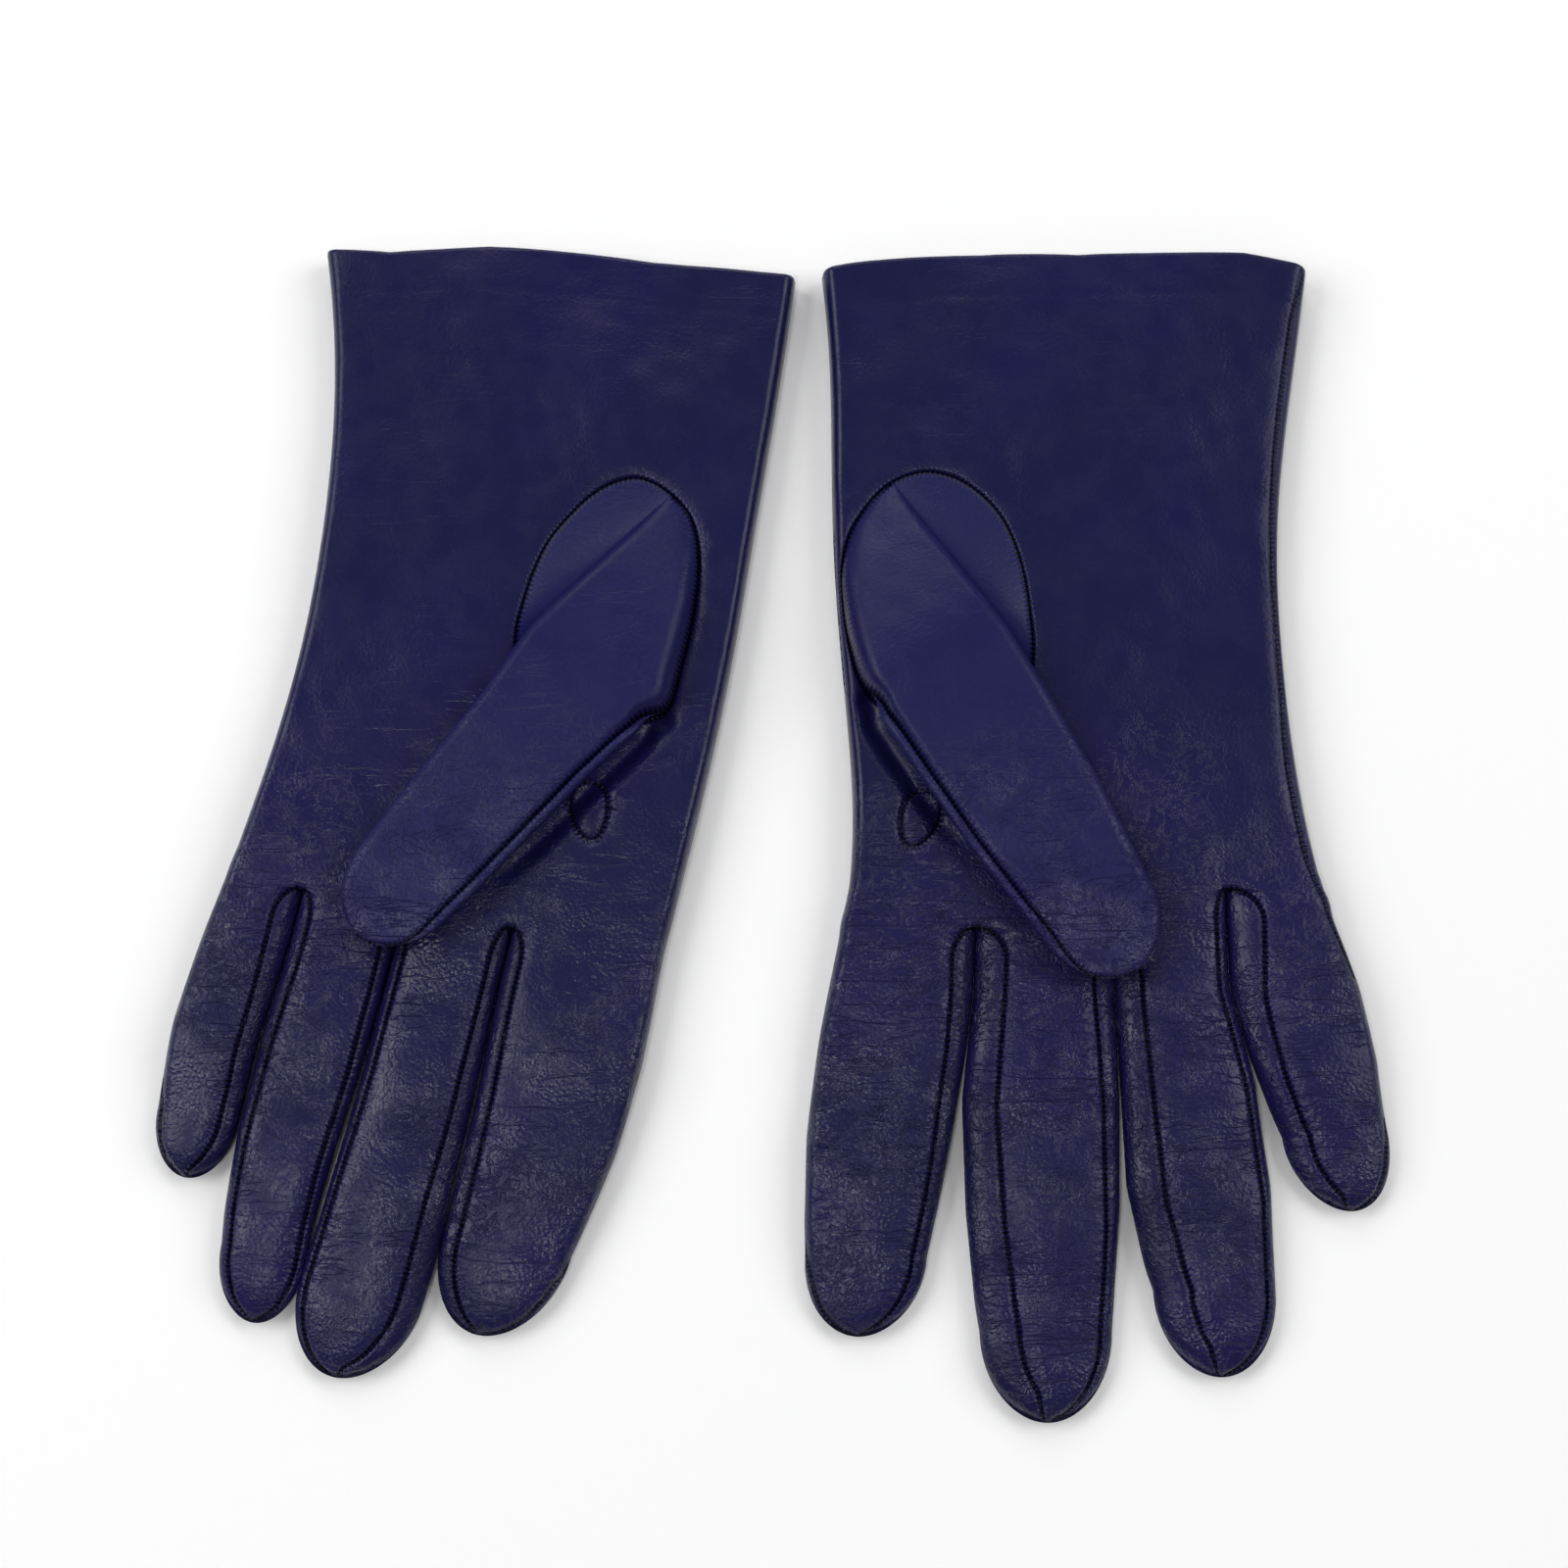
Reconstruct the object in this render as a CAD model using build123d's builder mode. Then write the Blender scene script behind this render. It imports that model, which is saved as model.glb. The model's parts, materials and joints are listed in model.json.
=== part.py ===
from build123d import *
import math
import os

os.makedirs("parts", exist_ok=True)

# A pair of leather driving gloves lying palm up, fingers toward -Y and cuffs toward +Y.
# All sizes are millimetres.  Z = 0 is the surface the gloves lie on.

# ------------------------------------------------------------------ leather and clearances
LEATHER = 0.8            # thickness of the glove leather
HAND_HEIGHT = 8.4        # back of the hand to the palm side, lying soft and slightly open
THUMB_HEIGHT = 7.6       # thickness of the folded thumb
THUMB_LIFT = 0.4         # free gap between the folded thumb and the palm under it
ROUNDING = 0.42          # side rounding of the hand, as a share of its height
HEM_DEPTH = 8.5          # leather turned in at the cuff
HEM_THICKNESS = 0.7      # skived thickness of that turned leather
PALM_HOLE_INSET = 3.0    # thumb opening in the palm, inside the oval thumb seam
MOUND_RISE = 1.2         # height over the palm where the thumb's slope meets the oval's cuff end
MOUND_RUN = 0.8          # length of that slope, as a share of the oval's height
TIP_ANGLES = (28.0, 50.0, 68.0)   # sections of a rounded fingertip, degrees round it
TIP_FLATTENING = 0.6     # how much slower the tip thins than it narrows
STRIP_TIP_SHARE = 0.55   # part of the rounded fingertip left beyond the end of a side strip
STATION_SHARES = (0.0, 0.3, 0.6, 0.85, 1.0)   # sections along the straight part of a finger
QUIRK_LENGTH = 12.0      # small tongue gusset in the thumb crotch
QUIRK_WIDTH = 7.5
MOUTH_RUN = 2.0          # how far cutting shapes run past an open end
CLEAR = 200.0            # larger than a glove: size of the blocks that cut one piece from the next


class Finger:
    """A finger in its glove's own frame: u across the knuckles, v from fingertips to cuff."""

    def __init__(self, name, hinge, length, path, widths, tip, seams):
        self.name = name          # index, middle, ring or little
        self.hinge = hinge        # v of the bending line at the root
        self.length = length      # bending line to fingertip
        self.path = path          # u of the centre line at 0, 1/4, 1/2, 3/4 and 1
        self.widths = widths      # width at the same five places, before the tip rounding
        self.tip = tip            # length of the rounded fingertip
        self.seams = seams        # side strips: {"low" or "high": (inset at root, inset at tip)}


class Glove:
    """One glove: its finger direction, outline, thumb and fingers."""

    def __init__(self, name, lean, rows, cuff, fingers, thumb, oval, quirk):
        self.name = name          # left or right
        self.lean = lean          # finger direction, degrees from -Y toward -X
        self.rows = rows          # hand outline: (y, centre x, width) from the cuff down
        self.cuff = cuff          # height of the cuff edge over its low corner: (-X end, middle, +X end)
        self.fingers = fingers    # in order of growing u
        self.thumb = thumb        # (root x, root y, degrees from -Y, length, widths at five places, tip)
        self.oval = oval          # oval thumb seam: (centre x, centre y, width, height)
        self.quirk = quirk        # tongue gusset: (centre x, centre y, degrees from -Y)


LEFT = Glove(
    name="left",
    lean=13.0,
    rows=[(111.0, -43.0, 96.0), (92.0, -43.2, 91.0), (59.0, -46.6, 87.0),
          (26.5, -52.1, 87.0), (-5.0, -60.1, 89.4)],
    cuff=(6.0, 6.5, 0.0),
    fingers=[
        Finger("little", -36.0, 59.0, (-94.4, -95.1, -96.1, -95.9, -95.8),
               (14.8, 16.1, 16.3, 16.0, 15.0), 9.0, {"high": (4.2, 2.8)}),
        Finger("ring", -46.0, 73.0, (-76.3, -76.8, -77.4, -77.1, -75.4),
               (19.4, 20.0, 18.8, 16.8, 15.4), 10.0, {"low": (3.0, 1.8), "high": (2.2, 1.6)}),
        Finger("middle", -46.0, 79.5, (-55.3, -54.9, -55.3, -55.5, -57.0),
               (20.8, 21.8, 22.6, 24.2, 24.0), 16.0, {"low": (2.4, 1.5), "high": (2.6, 5.0)}),
        Finger("index", -36.0, 75.5, (-29.1, -28.8, -29.0, -30.4, -30.6),
               (29.8, 29.6, 27.9, 25.4, 22.0), 16.0, {"low": (3.2, 3.4)}),
    ],
    thumb=(-36.0, 27.0, 40.5, 68.4, (30.5, 27.0, 25.4, 23.4, 20.0), 14.0),
    oval=(-32.5, 43.5, 36.0, 49.0),
    quirk=(-35.8, 0.5, -6.0),
)

RIGHT = Glove(
    name="right",
    lean=0.0,
    rows=[(111.0, 60.0, 99.0), (92.0, 59.3, 94.3), (59.0, 57.4, 89.6),
          (26.5, 58.7, 88.0), (-5.0, 61.5, 90.4)],
    cuff=(1.0, 6.5, 1.5),
    fingers=[
        Finger("index", -24.0, 77.7, (27.1, 24.4, 21.5, 19.1, 18.2),
               (26.6, 27.9, 27.4, 24.3, 20.0), 12.0, {"high": (4.6, 2.4)}),
        Finger("middle", -35.0, 83.0, (53.8, 52.8, 52.9, 53.0, 53.7),
               (26.5, 30.0, 29.4, 25.8, 21.0), 12.0, {"low": (6.0, 8.0), "high": (4.0, 1.8)}),
        Finger("ring", -35.0, 74.4, (78.9, 81.6, 83.2, 85.3, 87.9),
               (21.5, 25.6, 27.4, 23.8, 18.0), 11.0, {"low": (5.0, 8.0), "high": (2.2, 1.8)}),
        Finger("little", -20.0, 57.7, (100.2, 103.0, 106.5, 109.5, 112.6),
               (20.4, 24.0, 23.4, 20.5, 17.0), 10.0, {"low": (7.0, 4.0)}),
    ],
    thumb=(34.0, 28.0, -31.7, 70.5, (31.5, 30.4, 28.7, 25.0, 21.0), 15.0),
    oval=(33.3, 45.5, 37.8, 50.0),
    quirk=(29.5, -1.0, 20.0),
)


# ------------------------------------------------------------------ shared geometry helpers
def direction(degrees):
    """Unit vector for a heading measured from -Y toward -X."""
    a = math.radians(degrees)
    return Vector(-math.sin(a), -math.cos(a), 0)


def across(degrees):
    """Unit vector to the +X side of that heading."""
    a = math.radians(degrees)
    return Vector(math.cos(a), -math.sin(a), 0)


def world(glove, u, v, z=0.0):
    """A point of the glove's own frame in the shared frame."""
    return across(glove.lean) * u - direction(glove.lean) * v + Vector(0, 0, z)


def between(values, t):
    """Smooth value at t (0 to 1) through evenly spaced values."""
    n = len(values) - 1
    i = min(int(t * n), n - 1)
    f = t * n - i
    before = values[max(i - 1, 0)]
    after = values[min(i + 2, n)]
    a, b = values[i], values[i + 1]
    m0, m1 = (b - before) / 2, (after - a) / 2
    return (a * (2 * f**3 - 3 * f**2 + 1) + m0 * (f**3 - 2 * f**2 + f)
            + b * (3 * f**2 - 2 * f**3) + m1 * (f**3 - f**2))


def tube_stations(length, widths, tip, height, inset):
    """(distance, centre share, width, height) of each section of a finger or thumb tube."""
    stations = []
    straight = length - tip
    for share in STATION_SHARES:
        s = straight * share
        t = s / length
        stations.append((s, t, between(widths, t) - 2 * inset, height - 2 * inset))
    top = math.sin(math.radians(TIP_ANGLES[-1]))
    for angle in TIP_ANGLES:
        s = straight + (tip - inset) * math.sin(math.radians(angle)) / top
        t = min(s / length, 1.0)
        round_off = math.cos(math.radians(angle))
        stations.append((s, t, between(widths, t) * round_off - 2 * inset,
                         height * round_off**TIP_FLATTENING - 2 * inset))
    return stations


def tube(root, heading, mid_z, length, path, widths, tip, height, inset):
    """Closed-tip tube along a heading; with an inset it is the hollow to take out of it."""
    with BuildPart() as body:
        stations = tube_stations(length, widths, tip, height, inset)
        if inset > 0:
            s, t, w, h = stations[0]
            stations[0] = (s - MOUTH_RUN, t, w, h)
        for s, t, w, h in stations:
            centre = root + direction(heading) * s + across(heading) * (between(path, t) - path[0])
            plane = Plane(origin=(centre.X, centre.Y, mid_z), x_dir=across(heading), z_dir=direction(heading))
            with BuildSketch(plane):
                SlotOverall(w, h)
        loft(ruled=True)
    return body.part


def finger_shell(glove, finger):
    """Hollow finger, open at its bending line."""
    root = world(glove, finger.path[0], finger.hinge)
    mid = HAND_HEIGHT / 2
    outer = tube(root, glove.lean, mid, finger.length, finger.path, finger.widths,
                 finger.tip, HAND_HEIGHT, 0.0)
    hollow = tube(root, glove.lean, mid, finger.length, finger.path, finger.widths,
                  finger.tip, HAND_HEIGHT, LEATHER)
    with BuildPart() as shell:
        add(outer)
        add(hollow, mode=Mode.SUBTRACT)
    return shell.part


def strip_region(glove, finger, side):
    """Plan of a side strip: outside the seam that joins it to the finger's front and back."""
    sign = -1 if side == "low" else 1
    root_inset, tip_inset = finger.seams[side]
    end = finger.length - STRIP_TIP_SHARE * finger.tip
    seam = []
    for share in STATION_SHARES[:-1]:
        t = share * end / finger.length
        half = between(finger.widths, t) / 2
        inset = root_inset + (tip_inset - root_inset) * share
        seam.append(world(glove, between(finger.path, t) + sign * (half - inset),
                          finger.hinge - finger.length * t))
    t = end / finger.length
    far = between(finger.path, t) + sign * (between(finger.widths, t) / 2 + MOUTH_RUN / 2)
    last = world(glove, far, finger.hinge - end)
    out_u = between(finger.path, 0.5) + sign * (max(finger.widths) / 2 + 4 * MOUTH_RUN)
    corner = world(glove, out_u, finger.hinge - end)
    start = world(glove, out_u, finger.hinge + MOUTH_RUN)
    inner_start = world(glove, finger.path[0] + sign * (finger.widths[0] / 2 - root_inset),
                        finger.hinge + MOUTH_RUN)
    with BuildSketch() as region:
        with BuildLine():
            Polyline(*seam, last, corner, start, inner_start, seam[0])
        make_face()
    return region.sketch


def hand_outline(glove, inset, run):
    """Plan of the hand: sides as splines, straight finger roots, cuff edge as an arc."""
    rows = glove.rows
    low, high = [], []
    for y, centre, width in rows:
        low.append(Vector(centre - width / 2 + inset, y, 0))
        high.append(Vector(centre + width / 2 - inset, y, 0))
    fingers = glove.fingers
    edges = [(f.path[0] - f.widths[0] / 2, f.path[0] + f.widths[0] / 2, f.hinge) for f in fingers]
    roots = [(edges[0][0] + inset, edges[0][2] + inset)]
    for a, b in zip(edges, edges[1:]):
        if a[2] > b[2]:
            roots += [(b[0] + inset, a[2] + inset), (b[0] + inset, b[2] + inset)]
        elif a[2] < b[2]:
            roots += [(a[1] - inset, a[2] + inset), (a[1] - inset, b[2] + inset)]
    roots.append((edges[-1][1] - inset, edges[-1][2] + inset))
    roots = [world(glove, u, v) for u, v in roots]
    low[0] += Vector(0, glove.cuff[0] + run, 0)
    high[0] += Vector(0, glove.cuff[2] + run, 0)
    crown = Vector((low[0].X + high[0].X) / 2, rows[0][0] + glove.cuff[1] + run, 0)
    with BuildSketch() as outline:
        with BuildLine():
            Spline(low + [roots[0]])
            Polyline(*roots)
            Spline(high + [roots[-1]])
            ThreePointArc(low[0], crown, high[0])
        make_face()
    return outline.sketch


def hand_block(glove, inset, run):
    """The hand as a soft-edged block; with an inset it is the space for the hand."""
    with BuildPart() as block:
        with BuildSketch(Plane.XY.offset(inset)):
            add(hand_outline(glove, inset, run))
        extrude(amount=HAND_HEIGHT - 2 * inset)
        sides = block.edges().filter_by(GeomType.BSPLINE)
        fillet(sides, radius=ROUNDING * HAND_HEIGHT - inset)
    return block.part


def cuff_band(glove, depth):
    """Block that covers the last part of the cuff."""
    y, centre, width = glove.rows[0]
    low = Vector(centre - width / 2, y + glove.cuff[0], 0)
    high = Vector(centre + width / 2, y + glove.cuff[2], 0)
    crown = Vector((low.X + high.X) / 2, y + glove.cuff[1], 0)
    side = Vector(depth, 0, 0)
    drop = Vector(0, -depth, 0)
    with BuildPart() as band:
        with BuildSketch():
            with BuildLine():
                ThreePointArc(low, crown, high)
                Polyline(high, high + side, high + side + drop, high + drop)
                ThreePointArc(low + drop, crown + drop, high + drop)
                Polyline(low + drop, low + drop - side, low - side, low)
            make_face()
        extrude(amount=2 * HAND_HEIGHT, both=True)
    return band.part


def thumb_root(glove):
    """Where the thumb bends: its root point and heading."""
    x, y, heading = glove.thumb[0], glove.thumb[1], glove.thumb[2]
    return Vector(x, y, 0), heading


def behind_thumb(glove):
    """Block on the cuff side of the thumb's bending line."""
    root, heading = thumb_root(glove)
    plane = Plane(origin=(root.X, root.Y, 0), x_dir=across(heading), z_dir=(0, 0, 1))
    with BuildPart() as block:
        with BuildSketch(plane):
            with Locations((0, CLEAR / 2)):
                Rectangle(CLEAR, CLEAR)
        extrude(amount=CLEAR)
    return block.part


def thumb_mound(glove, inset):
    """Oval mound that rises from the palm to the thumb's bending line."""
    root, heading = thumb_root(glove)
    cx, cy, width, height = glove.oval
    top = HAND_HEIGHT + THUMB_LIFT + THUMB_HEIGHT
    far = direction(heading) * -(MOUND_RUN * height)
    slope = Vector(far.X, far.Y, HAND_HEIGHT + MOUND_RISE - top)
    normal = slope.cross(across(heading)).normalized()
    if normal.Z < 0:
        normal = normal * -1
    start = HAND_HEIGHT - (MOUTH_RUN if inset > 0 else 0.0)
    with BuildPart() as mound:
        with BuildSketch(Plane.XY.offset(start)):
            with Locations((cx, cy)):
                Ellipse(width / 2 - inset, height / 2 - inset)
        extrude(amount=top + THUMB_HEIGHT - start)
        cutter = Plane(origin=(root.X, root.Y, top - inset), x_dir=across(heading), z_dir=normal)
        with BuildSketch(cutter):
            Rectangle(CLEAR, CLEAR)
        extrude(amount=CLEAR, mode=Mode.SUBTRACT)
    return mound.part


def tongue(glove):
    """Tongue-shaped plan of the small gusset, set into the palm leather."""
    x, y, heading = glove.quirk
    plane = Plane(origin=(x, y, HAND_HEIGHT - LEATHER), x_dir=across(heading), z_dir=(0, 0, 1))
    with BuildPart() as piece:
        with BuildSketch(plane):
            SlotOverall(QUIRK_LENGTH, QUIRK_WIDTH, rotation=90)
        extrude(amount=LEATHER)
    return piece.part


# ------------------------------------------------------------------ pieces of one glove
def make_trank(glove):
    """Palm and back of the hand: one skin, open at the cuff, the finger roots and the thumb."""
    cx, cy, width, height = glove.oval
    with BuildPart() as trank:
        add(hand_block(glove, 0.0, 0.0))
        add(hand_block(glove, LEATHER, MOUTH_RUN), mode=Mode.SUBTRACT)
        for finger in glove.fingers:
            root = world(glove, finger.path[0], finger.hinge, HAND_HEIGHT / 2)
            neck = Plane(origin=(root.X, root.Y, root.Z), x_dir=across(glove.lean),
                         z_dir=direction(glove.lean))
            with BuildSketch(neck.offset(-3 * MOUTH_RUN)):
                SlotOverall(finger.widths[0] - 2 * LEATHER, HAND_HEIGHT - 2 * LEATHER)
            extrude(amount=4 * MOUTH_RUN, mode=Mode.SUBTRACT)
        with BuildSketch(Plane.XY.offset(HAND_HEIGHT - 2 * LEATHER)):
            with Locations((cx, cy)):
                Ellipse(width / 2 - PALM_HOLE_INSET, height / 2 - PALM_HOLE_INSET)
        extrude(amount=3 * LEATHER, mode=Mode.SUBTRACT)
        add(tongue(glove), mode=Mode.SUBTRACT)
    trank.part.label = glove.name + "_trank"
    return trank.part


def make_hem(glove):
    """Leather turned in at the cuff edge, lying against the inside of the cuff."""
    with BuildPart() as hem:
        add(hand_block(glove, LEATHER, MOUTH_RUN))
        add(hand_block(glove, LEATHER + HEM_THICKNESS, 2 * MOUTH_RUN), mode=Mode.SUBTRACT)
        add(cuff_band(glove, HEM_DEPTH), mode=Mode.INTERSECT)
    hem.part.label = glove.name + "_cuff_hem"
    return hem.part


def make_finger(glove, finger):
    """Front, back and tip of a finger, between its side strips."""
    with BuildPart() as panel:
        add(finger_shell(glove, finger))
        for side in finger.seams:
            with BuildSketch():
                add(strip_region(glove, finger, side))
            extrude(amount=2 * HAND_HEIGHT, both=True, mode=Mode.SUBTRACT)
    panel.part.label = glove.name + "_" + finger.name + "_finger"
    return panel.part


def make_fourchette(glove, finger, side, toward):
    """Side strip of a finger, between its front and its back."""
    with BuildPart() as strip:
        add(finger_shell(glove, finger))
        with BuildSketch():
            add(strip_region(glove, finger, side))
        extrude(amount=2 * HAND_HEIGHT, both=True, mode=Mode.INTERSECT)
    strip.part.label = glove.name + "_" + finger.name + "_fourchette_" + toward
    return strip.part


def make_thumb(glove):
    """Folded hollow thumb, open where it bends at its root."""
    x, y, heading, length, widths, tip = glove.thumb
    mid = HAND_HEIGHT + THUMB_LIFT + THUMB_HEIGHT / 2
    straight = (0.0,) * len(widths)
    with BuildPart() as thumb:
        add(tube(Vector(x, y, 0), heading, mid, length, straight, widths, tip, THUMB_HEIGHT, 0.0))
        add(tube(Vector(x, y, 0), heading, mid, length, straight, widths, tip, THUMB_HEIGHT, LEATHER),
            mode=Mode.SUBTRACT)
    thumb.part.label = glove.name + "_thumb"
    return thumb.part


def make_thumb_base(glove):
    """Oval root of the thumb, sewn round its opening in the palm."""
    with BuildPart() as base:
        add(thumb_mound(glove, 0.0))
        add(thumb_mound(glove, LEATHER), mode=Mode.SUBTRACT)
        add(behind_thumb(glove), mode=Mode.INTERSECT)
    base.part.label = glove.name + "_thumb_base"
    return base.part


def make_quirk(glove):
    """Small tongue gusset in the crotch of the thumb."""
    with BuildPart() as quirk:
        add(tongue(glove))
    quirk.part.label = glove.name + "_thumb_quirk"
    return quirk.part


# ------------------------------------------------------------------ both gloves
def neighbour(glove, finger, side):
    """Name of the finger a side strip faces."""
    i = glove.fingers.index(finger)
    return glove.fingers[i - 1 if side == "low" else i + 1].name


for glove in (LEFT, RIGHT):
    pieces = [make_trank(glove), make_hem(glove), make_thumb_base(glove),
              make_quirk(glove), make_thumb(glove)]
    for finger in glove.fingers:
        pieces.append(make_finger(glove, finger))
        for side in finger.seams:
            pieces.append(make_fourchette(glove, finger, side, neighbour(glove, finger, side)))
    for piece in pieces:
        export_step(piece, "parts/" + piece.label + ".step")
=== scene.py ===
"""A pair of nappa driving gloves: the leather pieces, their seams and their studio, around the CAD frame."""

import json
import math

import bmesh
import bpy
import numpy as np
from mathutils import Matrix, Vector


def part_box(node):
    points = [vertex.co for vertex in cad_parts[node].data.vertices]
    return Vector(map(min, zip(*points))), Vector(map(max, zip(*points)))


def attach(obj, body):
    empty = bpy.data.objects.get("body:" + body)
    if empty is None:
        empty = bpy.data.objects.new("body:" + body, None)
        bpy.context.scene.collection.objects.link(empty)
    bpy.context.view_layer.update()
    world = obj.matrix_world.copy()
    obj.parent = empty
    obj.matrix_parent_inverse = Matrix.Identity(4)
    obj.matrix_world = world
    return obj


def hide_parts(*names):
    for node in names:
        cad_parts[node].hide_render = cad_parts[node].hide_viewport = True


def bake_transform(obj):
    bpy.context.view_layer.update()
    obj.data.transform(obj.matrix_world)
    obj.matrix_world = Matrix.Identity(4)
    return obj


bl_info = {
    "name": "Driving Gloves",
    "version": (1, 0, 0),
    "blender": (4, 5, 0),
    "location": "View3D > Sidebar > Gloves",
    "description": "Builds a pair of sewn leather driving gloves, piece by piece",
    "category": "Add Mesh",
}

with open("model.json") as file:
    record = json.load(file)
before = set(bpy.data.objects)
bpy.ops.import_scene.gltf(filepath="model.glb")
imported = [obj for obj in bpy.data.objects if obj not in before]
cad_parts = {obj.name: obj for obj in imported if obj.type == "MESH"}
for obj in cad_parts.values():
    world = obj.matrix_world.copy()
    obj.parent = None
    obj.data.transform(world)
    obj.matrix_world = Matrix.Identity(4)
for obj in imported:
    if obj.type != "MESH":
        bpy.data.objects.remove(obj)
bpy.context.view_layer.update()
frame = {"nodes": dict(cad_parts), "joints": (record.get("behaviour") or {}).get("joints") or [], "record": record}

# Shapes are worked out in millimetres and turned to metres as they are placed.
MM = 0.001
JOINTS = {joint["name"]: joint for joint in frame["joints"]}
BODIES = frame["record"]["behaviour"]["bodies"]

HAND_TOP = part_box("left_trank")[1].z / MM  # palm side of a glove that lies on its back
ROLL_POWER = 2.5  # above 2, a rolled edge has a softer shoulder
MID = HAND_TOP / 2  # height of its side folds
THUMB_SEAT = HAND_TOP - 0.5  # height where a thumb's leather rises from the palm
ORIGIN = np.zeros(2)
SAMPLE = 0.5  # spacing of the sections measured off the CAD
STEP = 0.42  # spacing of the mesh rows along fingers and thumbs
EDGE_ROLL = 2.6  # radius of the folded outer sides
STRIP_ROLL = 3.6  # smallest radius of a finger's sewn sides
ARCH = 6.5  # height of the arch where two side strips meet
STRIP_SHARE = 0.4  # most of a finger's width that one side strip takes at the tip
CLOSING = (18.0, 1.1)  # seam that closes a folded side at the tip: length, inset
TIP_ROUND = 1.95  # superellipse power of the fingertips
TIP_ROWS = 22  # mesh rows round a fingertip
# Mesh columns across a piece, on its upper and on its lower side.
COLUMNS = {"hand": (200, 56), "finger": (58, 26), "strip": (16, 12), "thumb": (74, 60)}
TAPER = 0.36  # share of its thickness that a finger loses by its tip
# Pads of a finger: place and spread as shares of its length, and height.
PADS = ((0.56, 0.13, 0.8), (0.2, 0.12, 0.4))
THUMB_TIP = 15.0  # length of a thumb's rounded tip
TOUCHING = 0.09  # half width of a slit whose sides touch
STITCH = 1.0  # stitch length of the seams
NEAR_SEAM = 6.0  # how far from a seam the leather is drawn in
NO_SEAM = 4 * NEAR_SEAM  # seam gap that stands for leather with no seam near it
TEETH = 0.24  # how much the thread's bites widen and narrow a seam
COLLAR = 3.6  # palm leather drawn in round the oval thumb seam
OTHER_SIDE = 300.0  # shift that gives the back of a glove waves of its own
LIP = 0.75  # radius of the folded cuff edge
HEM_DEPTH = 8.5  # leather turned in at the cuff
CORNER = 2.6  # radius of the cuff's corners

# Where each glove's finger pieces begin, and the tops of the slits between its fingers, measured
# along the fingers from the frame's origin; the slits are in order of growing X.
ROOT_LINE = {"left": 30.0, "right": 11.5}
CROTCHES = {"left": (35.4, 37.5, 33.6), "right": (22.7, 27.0, 15.0)}
# Lengths of the rounded fingertips.
TIPS = {"left": {"little": 12.0, "ring": 13.0, "middle": 17.0, "index": 18.0},
        "right": {"little": 14.0, "ring": 16.0, "middle": 17.0, "index": 15.0}}
# How far each fingertip leans sideways, toward +X.
TIP_LEAN = {"left": {"little": 0.4, "ring": 1.2, "middle": -1.7, "index": -2.0},
            "right": {"little": 3.6, "ring": 1.4, "middle": 0.3, "index": -1.9}}
OUTER_BULGE = 0.8  # fullness of the little and index fingers' outer sides
CREASE = (2.2, 2.4, 14.0)  # palm crease beside the thumb: depth, half width, fading
CROWN = 1.2  # how far the front of a finger is arched across
SLIT_FILL = 0.35  # how far the side strips swell into the slits
# Waves of the cuff edge: (share of the width, lift), both gloves.
CUFF_WAVE = {
    "left": ((0.0, -0.2), (0.14, -1.9), (0.35, -0.9), (0.56, -1.4), (0.7, -1.9), (0.77, -1.6), (0.93, -0.5),
             (1.0, 0.2)),
    "right": ((0.0, 0.6), (0.05, 0.5), (0.33, -1.4), (0.53, -2.0), (0.73, -0.5), (0.87, 1.0), (0.97, 0.6),
              (1.0, 0.2)),
}
# The oval seams that set in the thumbs, anticlockwise; their lower ends lie hidden under the thumbs.
OVAL = {
    "left": ((-20.2, 21.4), (-17.9, 29.3), (-15.4, 40.7), (-14.5, 50.6), (-15.5, 58.2), (-18.1, 62.9),
             (-22.1, 66.4), (-26.7, 68.3), (-31.4, 67.4), (-36.0, 64.7), (-40.5, 60.2), (-44.4, 55.2),
             (-47.4, 48.8), (-49.3, 42.7), (-50.6, 36.7), (-50.2, 30.0), (-46.5, 24.0), (-40.0, 20.5),
             (-32.0, 18.6), (-25.0, 18.7)),
    "right": ((23.0, 21.5), (30.0, 20.0), (39.0, 20.6), (46.5, 22.8), (51.0, 27.0), (52.2, 32.5),
              (51.9, 38.9), (50.7, 48.0), (48.8, 54.9), (46.1, 60.5), (42.0, 65.1), (37.0, 68.4),
              (30.9, 69.6), (24.5, 67.4), (19.7, 62.7), (15.9, 56.4), (14.4, 49.4), (14.6, 42.3),
              (15.7, 34.7), (18.2, 26.2)),
}
QUIRK_TURN = {"left": -6.0, "right": 20.0}  # degrees from -Y toward -X
QUIRK_SIZE = (7.5, 12.0)  # width and length of the tongue gussets
# Side seam of the right glove, on its palm side: (y, distance in from the little-finger edge).
SIDE_SEAM = ((111.0, 1.2), (101.6, 2.2), (87.2, 2.3), (72.0, 2.1), (53.1, 1.6), (38.2, 1.4), (23.4, 1.5),
             (8.8, 2.2), (-7.3, 2.2), (-18.0, 1.6), (-32.5, 0.8))


# ---------------------------------------------------------------- reading the frame
def node_shape(nodes):
    """Points, in millimetres, and edges of some CAD nodes taken together."""
    points, edges, count = [], [], 0
    for node in nodes:
        mesh = frame["nodes"][node].data
        co = np.empty(len(mesh.vertices) * 3)
        mesh.vertices.foreach_get("co", co)
        pairs = np.empty(len(mesh.edges) * 2, dtype=int)
        mesh.edges.foreach_get("vertices", pairs)
        points.append(co.reshape(-1, 3) / MM)
        edges.append(pairs.reshape(-1, 2) + count)
        count += len(mesh.vertices)
    return np.vstack(points), np.vstack(edges)


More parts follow.
